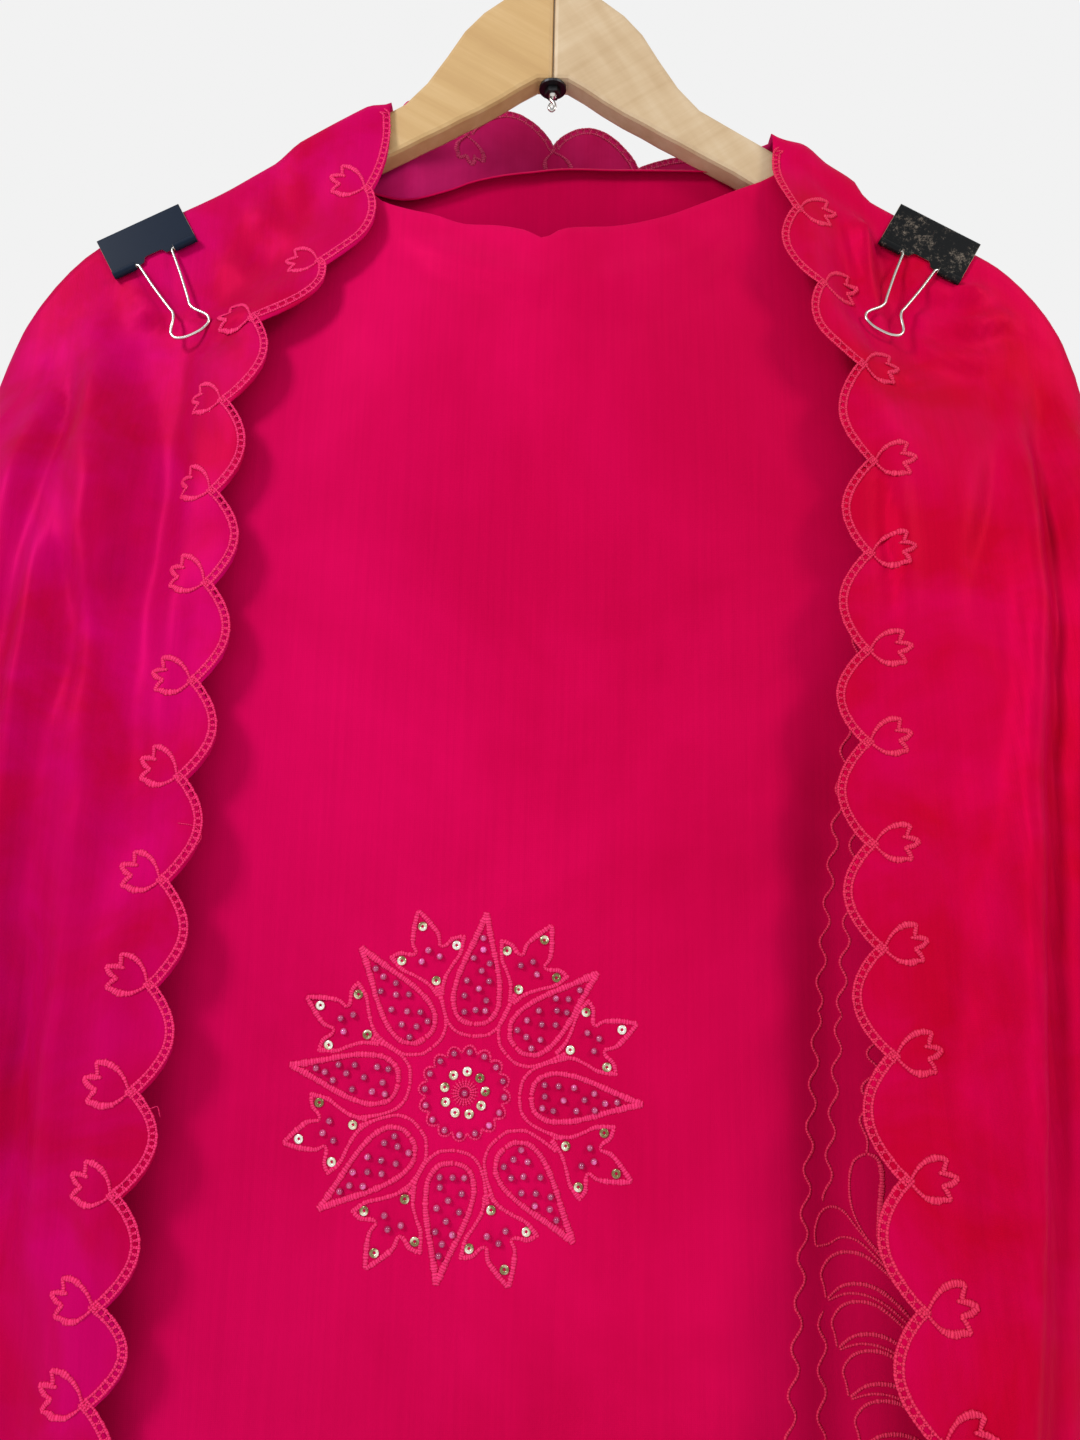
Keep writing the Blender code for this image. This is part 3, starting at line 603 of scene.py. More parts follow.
FALL_CREASES = {
    "left": prepared((
        (3.4, 6, -192, -238, -186, -252, -178, -264),
        (-12, 12.5, -176, -254, -167, -300, -163, -345, -168, -400, -176, -500),
        (8.5, 10, -209, -252, -198, -300, -190, -345, -185, -400, -190, -560),
        (-6, 6.5, -206, -272, -212, -330, -214, -400, -217, -520, -222, -760),
        (4.5, 9, -214, -275, -222, -340, -226, -440, -232, -700),
        (-4.5, 6, -197, -372, -188, -410, -192, -455),
        (2.5, 6, -150, -222, -132, -244, -112, -250),
        (2.2, 6.5, -152, -290, -150, -360, -152, -430, -153, -520),
        (4.5, 9, -160, -490, -160, -560, -158, -640, -164, -800),
        (-7.5, 9, -198, -480, -191, -600, -184, -690, -188, -900),
        (2.5, 8, -177, -520, -174, -600, -170, -690, -172, -840),
        (5, 8, -208, -600, -206, -720, -206, -960),
        (-4.5, 8, -166, -700, -172, -820, -170, -1000),
        (-2.4, 4.4, -130, -269, -146, -276, -164, -274),
        (2.2, 4.4, -128, -259, -144, -265, -162, -263),
        (2.4, 5, -190, -246, -172, -260, -150, -266),
        (-2.4, 5, -164, -212, -140, -225, -122, -240),
        (2, 5, -142, -200, -124, -214, -112, -226),
        (-2.6, 4.5, -205, -236, -196, -250, -178, -256),
    )),
    "right": prepared((
        (6.5, 5.4, 138.5, -178, 140, -200, 143, -222, 146, -246, 152, -284),
        (5, 4.6, 138, -176, 140.5, -196, 143, -212, 145, -236),
        (-6.5, 4.6, 149.5, -180, 151, -205, 154, -222, 158, -246, 163, -276),
        (2.7, 4.6, 148, -214, 156, -228, 168, -237, 182, -240, 198, -236, 212, -229),
        (4.6, 4.4, 184, -241, 196, -237, 206, -232, 216, -226),
        (3.2, 5, 150, -236, 158, -248, 172, -255, 190, -256, 214, -248),
        (3.4, 4.8, 180, -257, 194, -255, 206, -250, 218, -243),
        (3.6, 5.5, 156, -256, 172, -270, 192, -272, 216, -264),
        (-11, 6.5, 229, -258, 220, -298, 212, -345, 208, -390, 199, -455, 191, -520, 182, -600,
         171, -693, 161, -860, 159, -1040),
        (6.5, 6, 216, -262, 207, -300, 200, -345, 195, -400, 186, -457, 178, -533, 170, -604, 159,
         -693, 150, -860, 148, -1040),
        (-2.4, 7, 130, -240, 137, -254, 142, -266, 149, -284),
        (-2.4, 4, 139.5, -318, 140.5, -360, 140.5, -404),
        (2.2, 4.2, 147, -326, 148, -370, 147, -430),
        (-4, 7, 198, -312, 181, -368, 168, -418),
        (-3, 7, 176, -430, 168, -520, 160, -600),
        (2.6, 6, 170, -540, 154, -585, 147, -650),
        (-2.4, 6, 160, -440, 157, -520, 150, -620),
        (-2.4, 4.4, 136, -286, 150, -292, 166, -290),
        (5, 9, 212, -480, 206, -600, 200, -760, 204, -1000),
    )),
}
NECK_PUFF = 9.0              # the cloth stands this much higher up to the fold beside the clip
CRUMPLE = 0.8                # height of the small uneven swells all over the falls
BACK_HEM = -1042.0
BACK_FOLDS = (               # x at the top, x at the hem, height, half width, z it begins
    (-150, -172, 12, 24, -250), (-62, -84, 15, 26, -200), (18, 8, 11, 22, -170),
    (88, 104, 15, 25, -210), (165, 190, 12, 23, -250),
)
COLLAR_CUSPS = (             # the collar's scallops: x, y, z, and how far each one rises after it
    (-76, 6, -145, 7), (-66, 10, -133, 8), (-42.5, 25, -133.5, 17), (1, 38, -131.5, 18),
    (44.5, 35.5, -145, 4), (78, 20, -149, 7), (103, 6, -157, 0),
)
COLLAR_ROUND = 0.75          # below 1 the scallops stand up more squarely
COLLAR_ROW = 1.3             # height of the rows beside its edge
COLLAR_SETTLE = 170.0        # it comes to rest on the back over this height
ARM_END = 214.0
ARM_PLACES = 7.0             # places of FALL_COLUMNS over the arm, and in all
ALL_PLACES = 9.0
NECK_LIFT = 3.3              # how much more the cloth is raised, and its face, by the neck
NECK_FACE = 1.54


def by_neck(x):
    """1 where the inner stretches turn down beside the neck, 0 elsewhere."""
    return ease((abs(x) - 76.0) / 12.0) * ease((130.0 - abs(x)) / 14.0)


def edge_cusps(hand):
    rows = list(FALL_EDGE[hand])
    while rows[-1][1] > FALL_HEM[hand] + SCALLOP * 0.6:
        x, z, y = rows[-1]
        rows.append((x + EDGE_DRIFT[hand] * SCALLOP, z - SCALLOP, y - 0.6))
    return rows


cusps = {hand: edge_cusps(hand) for hand in FALL_EDGE}
edge_line = {hand: smooth_table([(z, x, y) for x, z, y in rows]) for hand, rows in cusps.items()}
fall_column = {hand: smooth_table([(place, *row) for place, row in enumerate(rows)])
               for hand, rows in FALL_COLUMNS.items()}
SIGN = {"left": -1.0, "right": 1.0}


def edge_place(hand, step):
    """Place of the scalloped edge, step counted in scallops from the top: x, z."""
    rows = cusps[hand]
    low = min(int(step), len(rows) - 2)
    part = step - low
    x = blend(rows[low][0], rows[low + 1][0], part)
    z = blend(rows[low][1], rows[low + 1][1], part)
    rise = SCALLOP_RISE if low > 0 else TOP_SCALLOP * SCALLOP_RISE
    return x - SIGN[hand] * rise * math.sin(math.pi * part) ** SCALLOP_ROUND, z


def down_share(hand, z):
    top, low = cusps[hand][0][1], cusps[hand][-1][1]
    return min(max((z - top) / (low - top), 0.0), 1.0)


def hang_x(hand, down):
    return blend(SIDE_X[hand] + 2.5 * SIDE_SPLAY * SIDE_STEP, SIDE_HANG[hand], down)


def above_zero(depth, soft):
    """depth where it is well above 0, and a soft bend toward 0 below that."""
    return 0.5 * (depth + math.hypot(depth, 2.0 * soft))


def fall_y(hand, x, z):
    """Middle of a fall's cloth, read in front view."""
    down = down_share(hand, z)
    line_x, line_y = edge_line[hand](z)
    side_x = SIGN[hand] * (hang_x(hand, down) - SIDE_ROUND)
    share = (x - line_x) / (side_x - line_x)
    near_x = min(max(x, -ARM_END), ARM_END)
    below = ease((arm_under(near_x) - 14.0 - z) / 90.0)
    inner = front_y(near_x, z)
    hold = 1.0 - ease(share / 0.5)
    lift = (front_y(line_x, z) - line_y - 2.5) * hold
    away = FALL_AWAY * ease((-z - 232.0) / 120.0)
    lift += (away + FALL_BASE[hand] * ease((-z - 260.0) / 480.0)) * (1.0 - hold)
    drop = min(max((-z - 250.0) / 850.0, 0.0), 1.0)
    for top, low, height, half, begin in FALL_FOLDS[hand]:
        away = (share - blend(top, low, drop)) / half
        lift += height * math.exp(-away * away) * ease((begin - z) / 150.0) * ease(share / 0.25)
    y = inner - 1.5 - below - max(lift, 0.0) * blend(1.0, below, ease(share / 0.3))
    crumple = math.sin(x / 6.3 + 1.3 * math.sin(z / 17.0)) * math.sin(z / 9.5 + math.sin(x / 12.0))
    relief = crease_height(FALL_CREASES[hand], x, z) + CRUMPLE * crumple
    y -= relief * ease((arm_top(near_x) - 8.0 - z) / 14.0)
    rests = min(-OUTER_FACE - NECK_FACE * by_neck(x) * (1.0 - below), inner - 1.4)
    return rests - above_zero(rests - y, 0.02 + 1.6 * below * (1.0 - hold))


def neck_puff(hand, x):
    """How much higher the ridge stands between the neck and the right clip."""
    if hand == "left":
        return 0.0
    return NECK_PUFF * ease((x - 104.0) / 20.0) * ease((147.5 - x) / 7.0)


def ridge(hand, column):
    """Share, turn, and ridge place of a column of the outer cloth."""
    share, turn, x, z = fall_column[hand](column)
    if column < ARM_PLACES:
        z = arm_top(x) + OUTER_LIFT + NECK_LIFT * by_neck(x) + neck_puff(hand, x)
    return share, math.radians(turn), x, z


def over_ridge(hand, column, row, rows):
    """The rows that turn over the arm or the side: distance out of the middle, x, z."""
    _share, turn, x, z = ridge(hand, column)
    facing = math.cos(turn)
    past = ease(column - ARM_PLACES)
    out, rise, drop = OVER_ARM[row]
    face = OUTER_FACE + NECK_FACE * by_neck(x)
    arm_z = z - OUTER_LIFT * (1.0 - rise) + drop - neck_puff(hand, x) * row / (rows - 1)
    step = 3.0 * SIDE_STEP * row / (rows - 1)
    side_z = z - step
    return (face * out * facing, SIGN[hand] * (x + past * SIDE_SPLAY * step),
            blend(arm_z, side_z, past))


def drop_start(hand, column):
    """Height where a column leaves the ridge rows."""
    _share, _turn, x, z = ridge(hand, column)
    return z - neck_puff(hand, x) - blend(OUTER_LIFT + ARM_DROP, 3.0 * SIDE_STEP,
                                          ease(column - ARM_PLACES))


def hem_of(hand, share):
    return cusps[hand][-1][1] + 20.0 * share + 6.0 * math.sin(6.0 * share)


column_places = [ARM_PLACES * index / 35.0 for index in range(35)]
column_places += [ARM_PLACES + 2.0 * index / 10.0 for index in range(11)]
ridge_rows = len(OVER_ARM)
outer_rows = ridge_rows + (len(cusps["left"]) - 1) * SCALLOP_STEPS


def past_arm(place):
    """How far the cloth beside the ridge is splayed out past the end of the arm."""
    return ease(place - ARM_PLACES) * SIDE_SPLAY * 3.0 * SIDE_STEP


def fall_point(hand, place, row):
    share, turn, x, z = ridge(hand, place)
    sign = SIGN[hand]
    if row < ridge_rows:
        out, x, z = over_ridge(hand, place, row, ridge_rows)
        return x, -out, z
    edge_x, edge_z = edge_place(hand, (row - ridge_rows + 1) / SCALLOP_STEPS)
    down = down_share(hand, edge_z)
    start = drop_start(hand, place)
    z = blend(start, hem_of(hand, share), down)
    side_x = sign * (hang_x(hand, down) - SIDE_ROUND * (1.0 - math.sin(turn)))
    line_x = edge_line[hand](edge_z)[0] - sign * 0.6 * SCALLOP_RISE
    near_edge = max(0.0, 1.0 - share / SCALLOP_REACH) ** 2
    body_x = blend(line_x, side_x, share) + (edge_x - line_x) * near_edge
    top_x = sign * (x + past_arm(place))
    settle = ease(down * (cusps[hand][0][1] - cusps[hand][-1][1]) / 120.0)
    settle = 1.0 - (1.0 - settle) * ease(place)
    x = blend(top_x, body_x, settle)
    flat_x = sign * min(abs(x), hang_x(hand, down) - SIDE_ROUND) if turn > 0.0 else x
    return x, fall_y(hand, flat_x, z) * math.cos(turn), z


def back_fold_height(x, z):
    drop = min(max((-z - 200.0) / 840.0, 0.0), 1.0)
    total = 0.0
    for top, low, height, half, begin in BACK_FOLDS:
        away = (x - blend(top, low, drop)) / half
        total += height * math.exp(-away * away) * ease((begin - z) / 160.0)
    return total


def outer_back_y(x, z):
    near_x = min(max(x, -ARM_END), ARM_END)
    below = ease((arm_under(near_x) - 8.0 - z) / 110.0)
    y = back_y(near_x, z) + 1.5 + (2.5 + back_fold_height(x, z)) * below
    return max(y, OUTER_FACE + NECK_FACE * by_neck(x) * (1.0 - below))


def collar_place(step):
    """Place of the collar's edge, step counted in its scallops from the left."""
    low = min(int(step), len(COLLAR_CUSPS) - 2)
    part = step - low
    first, second = COLLAR_CUSPS[low], COLLAR_CUSPS[low + 1]
    x, y, z = (blend(a, b, part) for a, b in zip(first[:3], second[:3]))
    y += (8.0 if 0 < low < 5 else 0.0) * part * (1.0 - part)
    return x, y, z + first[3] * math.sin(math.pi * part) ** COLLAR_ROUND


COLLAR_STEPS = 10
back_columns = [("left", place) for place in reversed(column_places)]
back_columns += [("collar", step / COLLAR_STEPS)
                 for step in range(1, (len(COLLAR_CUSPS) - 1) * COLLAR_STEPS)]
back_columns += [("right", place) for place in column_places]


def back_settle(y, below, top_y):
    """The collar's cloth stands at top_y and comes to rest on the back below it."""
    return y + max(0.0, top_y - y) * (1.0 - ease(below / COLLAR_SETTLE))


def back_point(column, row):
    kind, place = back_columns[column]
    collar = kind == "collar"
    if not collar and row < ridge_rows:
        out, x, z = over_ridge(kind, place, row, ridge_rows)
        return x, out, z
    if not collar and place == ALL_PLACES:
        x, _y, z = fall_point(kind, place, row)
        return x, 0.0, z
    if collar:
        x, top_y, start = collar_place(place)
        if row < ridge_rows:
            return x, top_y - 0.01 * row, start - COLLAR_ROW * row
        start -= COLLAR_ROW * (ridge_rows - 1)
        hand, turn = "left" if x < 0.0 else "right", 0.0
    else:
        _share, turn, x, _z = ridge(kind, place)
        start = drop_start(kind, place)
        hand, x = kind, x * SIGN[kind]
    step = (row - ridge_rows + 1) / SCALLOP_STEPS
    downs = {side: down_share(side, edge_place(side, step)[1]) for side in ("left", "right")}
    toward = min(max((x + 250.0) / 500.0, 0.0), 1.0)
    down = downs[hand] if turn > 0.0 else blend(downs["left"], downs["right"], toward)
    low = BACK_HEM + 6.0 * math.cos(x / 40.0)
    z = blend(start, blend(low, hem_of(hand, 1.0), min(abs(x) / 246.0, 1.0) ** 3), down)
    if not collar:
        side_x = hang_x(kind, down) - SIDE_ROUND * (1.0 - math.sin(turn))
        past = ease((abs(x) - 140.0) / 66.0)
        low_x = side_x if turn > 0.0 else abs(x) + (side_x - 206.0) * past
        x = SIGN[kind] * blend(abs(x) + past_arm(place), low_x, ease(down * 7.5))
    y = outer_back_y(x, z)
    if collar:
        y = back_settle(y, start - z, top_y)
    return x, y * math.cos(turn), z


def add_part(mesh, part):
    """Moves a bmesh into another."""
    store = bpy.data.meshes.new("part")
    part.to_mesh(store)
    part.free()
    mesh.from_mesh(store)
    bpy.data.meshes.remove(store)


outer = bmesh.new()
for hand in ("left", "right"):
    add_part(outer, cloth_mesh(len(column_places), outer_rows, lambda column, row: fall_point(
        hand, column_places[column], row)))
add_part(outer, cloth_mesh(len(back_columns), outer_rows, back_point))
outer_cloth = finish_cloth("outer_cloth", outer)
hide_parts("fall_left", "fall_right", "back_stretch")
dress(outer_cloth, silk("outer_silk", (0.52, 0.001, 0.048), (0.60, 0.001, 0.118), 0.10, 0.16,
                        (0.42, 0.0, 0.24), 19.0, (0.88, 1.0, 1.0), (1.0, 1.0, 0.44)))
# The inside of the outer cloth: the reverse side's colour, made paler and purpler as painted light
# shining through the thin silk.
outer_cloth.data.materials.append(
    silk("wrong_side_silk_painted_glow", (0.56, 0.009, 0.150), (0.66, 0.016, 0.210), 0.05, 0.25,
         (0.45, 0.05, 0.30), 24.0))

# ---------------------------------------------------------------- ladder edging and tulips
# Both scalloped edges are finished by machine with two corded lines and small stitches between
# them, and at each cusp a tulip outline is worked in satin stitch.
EDGING_WIDE = 2.7
CORD_HALF = 0.50
CORD_STAND = 0.6             # the cords, rungs and tulips stand this far off the cloth
RUNG_STAND = 0.45
TULIP_STAND = 0.8
RUNG_PITCH = 1.35
RUNG_HALF = 0.40
TULIP_LONG = 17.5
TULIP_TILT = {"left": (3.0, 18.0), "right": (-6.0, 4.0)}
COLLAR_TULIP = 16.0
TULIP_BOLD = 1.38            # its strokes are this much wider than the table says
LOOSE_HALF = 0.16
LOOSE_ENDS = (               # whiskers of thread at the left edge: x, z
    ((-139.5, -488), (-133, -489), (-129.5, -493.5), (-131.5, -497)),
    ((-144.5, -590), (-140.5, -593), (-137.5, -592), (-136, -596)),
)
# one tulip pointing along +u from its stem, as strokes of u, v, half width (shares of its length)
TULIP = (
    ((-0.07, -0.05, 0.02), (0, 0, 0.02), (0.17, 0.26, 0.028), (0.38, 0.44, 0.044),
     (0.6, 0.51, 0.052), (0.8, 0.5, 0.03)),
    ((0.79, 0.52, 0.03), (0.73, 0.37, 0.034), (0.69, 0.22, 0.028)),
    ((0.59, 0.225, 0.022), (0.8, 0.215, 0.044), (1, 0.165, 0.038)),
    ((1, 0.175, 0.04), (0.83, 0.03, 0.046), (0.65, -0.02, 0.026)),
    ((0.66, -0.01, 0.028), (0.76, -0.12, 0.04), (0.84, -0.29, 0.034)),
    ((0.85, -0.28, 0.028), (0.7, -0.275, 0.044), (0.54, -0.315, 0.058), (0.36, -0.29, 0.044),
     (0.17, -0.17, 0.026), (0, 0, 0.02), (-0.07, 0.05, 0.02)),
)
# section of a stitched line: share across, share of its height
STITCH_SECTION = (
    (-1, 0.05), (-0.66, 0.72), (0, 1), (0.66, 0.72), (1, 0.05), (0, -0.35), (-1, 0.05),
)


class Needle:
    """Lays stitched lines on a cloth surface, all in one mesh with the thread run as its UV."""

    def __init__(self, surface, side=-1.0):
        """surface gives y at x, z; side is -1 to sew on its front, 1 on its back."""
        self.surface = surface
        self.side = side
        self.mesh = bmesh.new()

    def line(self, points, height, spacing=1.2, uneven=0.22):
        """points are x, z, half width in millimetres; every other stitch is lower."""
        runs = [0.0]
        for first, second in zip(points, points[1:]):
            runs.append(runs[-1] + math.hypot(second[0] - first[0], second[1] - first[1]))
        if runs[-1] < 0.2:
            return
        read = smooth_table([(run + 1e-7 * index, *place)
                             for index, (run, place) in enumerate(zip(runs, points))])
        rows = max(int(runs[-1] / spacing), 2)
        wander = [random.uniform(-1.0, 1.0) for _row in range(rows + 1)]
        strip = bmesh.new()
        uv = strip.loops.layers.uv.new("thread")
        bmesh.ops.create_grid(strip, x_segments=rows, y_segments=6, size=0.5)
        places = {}
        for vertex in strip.verts:
            row = round((vertex.co.x + 0.5) * rows)
            turn = round((vertex.co.y + 0.5) * 6)
            run = runs[-1] * row / rows
            x, z, half = read(run)
            ahead = read(min(run + 0.3, runs[-1]))
            behind = read(max(run - 0.3, 0.0))
            along = math.hypot(ahead[0] - behind[0], ahead[1] - behind[1]) or 1.0
            side_x, side_z = (behind[1] - ahead[1]) / along, (ahead[0] - behind[0]) / along
            close = 0.35 if row in (0, rows) else 1.0
            across, rise = STITCH_SECTION[turn]
            half *= close * (1.0 + uneven * wander[row])
            x += side_x * across * half
            z += side_z * across * half
            stand = height * close * (1.0 - uneven * (row % 2) - uneven * abs(wander[row]))
            y = self.surface(x, z) + self.side * (CLOTH_THICK / 2 + rise * stand)
            places[vertex] = (run, turn / 6.0)
            vertex.co = Vector((x, y, z)) * MM
        for face in strip.faces:
            for loop in face.loops:
                loop[uv].uv = places[loop.vert][0] * MM, places[loop.vert][1] * MM
        bmesh.ops.remove_doubles(strip, verts=strip.verts, dist=2e-6)
        ends = [edge for edge in strip.edges if edge.is_boundary]
        if ends:
            bmesh.ops.holes_fill(strip, edges=ends, sides=8)
        bmesh.ops.recalc_face_normals(strip, faces=strip.faces)
        add_part(self.mesh, strip)

    def sew(self, name, material):
        piece = made_piece(name, self.mesh)
        dress(piece, material)
        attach(piece, "stole_on_hanger")


def thread(name, colour, dark):
    """Glossy thread with its separate stitches running across the line, darker between the stitches
    as painted shade in the grooves.
    """
    made, tree, shader = new_material(name, 0.42, Specular_IOR_Level=0.22)
    shader.inputs["Specular Tint"].default_value = (1.0, 0.35, 0.62, 1.0)
    along = add_node(tree, "ShaderNodeUVMap", uv_map="thread")
    wave = fed(tree, along.outputs["UV"], "ShaderNodeTexWave", Scale=300.0, Distortion=7.0,
               Detail=2.0, bands_direction="X")
    # The dark colour between the stitch bands is painted shade in the grooves between strands.
    finish_shader(tree, shader, ramp(tree, wave, ((0.08, dark), (0.50, colour))),
                  dented(tree, wave, 0.7, 0.0003))
    return made


random.seed(7)
pink_thread = thread("pink_thread", (0.90, 0.034, 0.175), (0.66, 0.008, 0.090))
coral_thread = thread("coral_thread", (0.82, 0.036, 0.110), (0.56, 0.008, 0.058))
dark_thread = thread("dark_thread", (0.76, 0.075, 0.220), (0.46, 0.016, 0.095))


def tulip(needle, x, z, turn, size, mirror):
    for stroke in TULIP:
        line = []
        for u, v, half in stroke:
            u, v = u * size, v * size * mirror
            line.append((x + u * math.cos(turn) - v * math.sin(turn),
                         z + u * math.sin(turn) + v * math.cos(turn),
                         half * size * TULIP_BOLD))
        needle.line(line, TULIP_STAND, 0.55)


def ladder(needle, outline, inward):
    """Two corded lines along the outline and small stitches between them.

    outline is a line of x, z; inward is 1 or -1 for the side the cloth is on.
    """
    inner, run, bars = [], 0.0, []
    for index, (x, z) in enumerate(outline):
        before, after = outline[max(index - 1, 0)], outline[min(index + 1, len(outline) - 1)]
        dx, dz = after[0] - before[0], after[1] - before[1]
        length = math.hypot(dx, dz)
        inner.append((x - inward * dz / length * EDGING_WIDE,
                      z + inward * dx / length * EDGING_WIDE))
    for line in (outline, inner):
        needle.line([(x, z, CORD_HALF) for x, z in line], CORD_STAND, 0.8, 0.3)
    for index in range(1, len(outline)):
        run += math.hypot(outline[index][0] - outline[index - 1][0],
                          outline[index][1] - outline[index - 1][1])
        if run > RUNG_PITCH:
            run -= RUNG_PITCH
            lean = 1 if len(bars) % 2 else -1
            bars.append((outline[index], inner[min(max(index + lean, 0), len(inner) - 1)]))
    for first, second in bars:
        needle.line([(*first, RUNG_HALF), (*second, RUNG_HALF)], RUNG_STAND, 1.6)


GRID_STEP = 2.6              # half the distance between the grid's lines at the edge


def over_fall(x, z):
    """The fall's cloth where its grid spans a narrow crease."""
    beside = fall_y(hand, x - GRID_STEP, z) + fall_y(hand, x + GRID_STEP, z)
    above = fall_y(hand, x, z - GRID_STEP) + fall_y(hand, x, z + GRID_STEP)
    return min(fall_y(hand, x, z), 0.5 * beside, 0.5 * above)


for hand in ("left", "right"):
    needle = Needle(over_fall)
    sign = SIGN[hand]
    count = len(cusps[hand]) - 1
    for scallop in range(count):
        outline = []
        for step in range(-1, 30):
            part = min(max(step / 29.0, 0.0), 1.0)
            x, z = edge_place(hand, scallop + part * SCALLOP_END)
            if step < 0:
                x, z = x + sign * 2.5, z + 2.5
            outline.append((x + sign * 0.5, z))
        outline.append((outline[-1][0] + sign * 2.5, outline[-1][1] - 2.5))
        ladder(needle, outline, sign)
    for index in range(1, count):
        x, z, _y = cusps[hand][index]
        tilt = math.radians(random.uniform(*TULIP_TILT[hand]))
        turn = math.pi - tilt if sign < 0 else tilt
        size = TULIP_LONG * random.uniform(0.94, 1.06)
        tulip(needle, x + sign * 3.0, z, turn, size, sign)
    if hand == "left":
        for curl in LOOSE_ENDS:
            needle.line([(x, z, LOOSE_HALF) for x, z in curl], 0.5, 1.0)
    needle.sew("edging_" + hand, pink_thread if hand == "left" else coral_thread)

COLLAR_ENDS = 1.5            # the collar's edging runs this far past each of its cusps
collar_line = smooth_table([collar_place(step / COLLAR_STEPS)
                            for step in range((len(COLLAR_CUSPS) - 1) * COLLAR_STEPS + 1)])


def collar_y(x, z):
    """Middle of the cloth that stands up behind the neck."""
    top_y, top_z = collar_line(x)
    return back_settle(outer_back_y(x, z), top_z - COLLAR_ROW * (ridge_rows - 1) - z, top_y)


for side, word in ((-1.0, "inside"), (1.0, "outside")):
    needle = Needle(collar_y, side)
    for scallop in range(len(COLLAR_CUSPS) - 1):
        outline = []
        for step in range(25):
            x, _y, z = collar_place(scallop + step / 24.0 * SCALLOP_END)
            outline.append((x, z - 0.5))
        outline.append((outline[-1][0] + COLLAR_ENDS, outline[-1][1] - COLLAR_ENDS))
        ladder(needle, outline, -1.0)
    for x, _y, z, _rise in COLLAR_CUSPS[2:5]:
        tulip(needle, x, z - 3.0, math.radians(random.uniform(-94.0, -84.0)), COLLAR_TULIP, 1.0)
    needle.sew("collar_edging_" + word, dark_thread if side < 0 else pink_thread)

# ---------------------------------------------------------------- round flower
# A round flower of eight petals worked in satin stitch on the front stretch, filled with small
# pearl beads and set with cupped sequins.
FLOWER_AT = (-26.0, -588.0)
FLOWER_TURN = -5.5           # degrees, clockwise from the upright
PETAL_ANGLES = (0.0, 42.5, 87.0, 136.0, 181.5, 226.0, 272.0, 316.5)
LEAF_ANGLES = (21.5, 62.5, 110.5, 159.5, 203.5, 248.5, 293.5, 338.0)
SEQUIN_RADIUS = 1.75
BEAD_RADIUS = 1.3
# outline of half a petal: distance from the middle, half width, half thickness of its stitches
PETAL_HALF = (
    (25.5, 0, 1.05), (26.4, 4.2, 1.05), (29.3, 7.3, 1.05), (34.5, 8.9, 1.05), (41, 8.4, 1.1),
    (48, 6.6, 1.15), (55.5, 4, 1.25), (62, 1.8, 1.4), (68.6, 0, 1.1),
)
# the thinner line round it, ending in the leaf between petals
PETAL_AROUND = (
    (21, 0, 0.7), (21.8, 5, 0.7), (24.8, 9.2, 0.7), (30, 12, 0.7), (35.5, 13.8, 0.8),
    (39, 14.9, 1),
)
# half of a three pointed leaf: distance, half width across, half thickness
LEAF_HALF = (
    (37.5, 0.5, 1.1), (43, 3.2, 0.8), (47.5, 7.5, 0.75), (51, 11.5, 0.85), (56, 14.2, 1),
    (57.5, 15, 0.6),
)
LEAF_INNER = (
    (57, 14.2, 0.9), (57.2, 10.5, 0.95), (55.5, 6.5, 0.8), (55.6, 4.6, 0.6),
)
LEAF_TOP = (
    (55.6, 4.6, 0.7), (60, 5.2, 0.85), (64.5, 3.6, 1.1), (71.5, 0, 0.9),
)
PETAL_BEADS = (
    (31, 0), (35, 4.4), (35.5, -4.2), (38.5, 0.3), (42.5, 4.3), (42, -4.4), (46, 0.2),
    (49.5, 3.2), (50, -3), (53.5, 0.3), (58, 0.2), (30, -4.2), (30.5, 4.3),
)


def on_flower(angle, out, across):
    """A place on the flower: angle from its upright clockwise, distance out, and to the side."""
    turn = math.radians(angle) - math.radians(FLOWER_TURN)
    return (FLOWER_AT[0] + out * math.sin(turn) + across * math.cos(turn),
            FLOWER_AT[1] + out * math.cos(turn) - across * math.sin(turn))


flower = Needle(front_y)
for angles, tables in ((PETAL_ANGLES, ((PETAL_HALF, 0.85), (PETAL_AROUND, 0.6))),
                       (LEAF_ANGLES, ((LEAF_HALF, 0.65), (LEAF_INNER, 0.65), (LEAF_TOP, 0.7)))):
    for angle in angles:
        for table, height in tables:
            for side in (-1.0, 1.0):
                flower.line([(*on_flower(angle, out, side * across), half)
                             for out, across, half in table], height, 0.6)
LOOPS = 16                   # small arcs in a ring round the middle
LOOP_OUT = 14.6
LOOP_RISE = 2.9
ROSETTE = 22                 # short strokes that fan out inside the ring
STROKE = (1.6, 3.4, 5.3)
for loop in range(LOOPS):
    angle = 360.0 / LOOPS * loop
    half = 180.0 / LOOPS
    arc = []
    for step in range(7):
        part = step / 6.0
        arc.append((*on_flower(angle - half + 2.0 * half * part,
                               LOOP_OUT + LOOP_RISE * math.sin(math.pi * part) ** 0.8, 0.0), 0.5))
    flower.line(arc, 0.45, 0.9)
for step in range(ROSETTE):
    angle = 360.0 / ROSETTE * step
    flower.line([(*on_flower(angle, out, 0.0), 0.42) for out in STROKE], 0.7, 0.9)
flower.sew("flower_stitches", pink_thread)


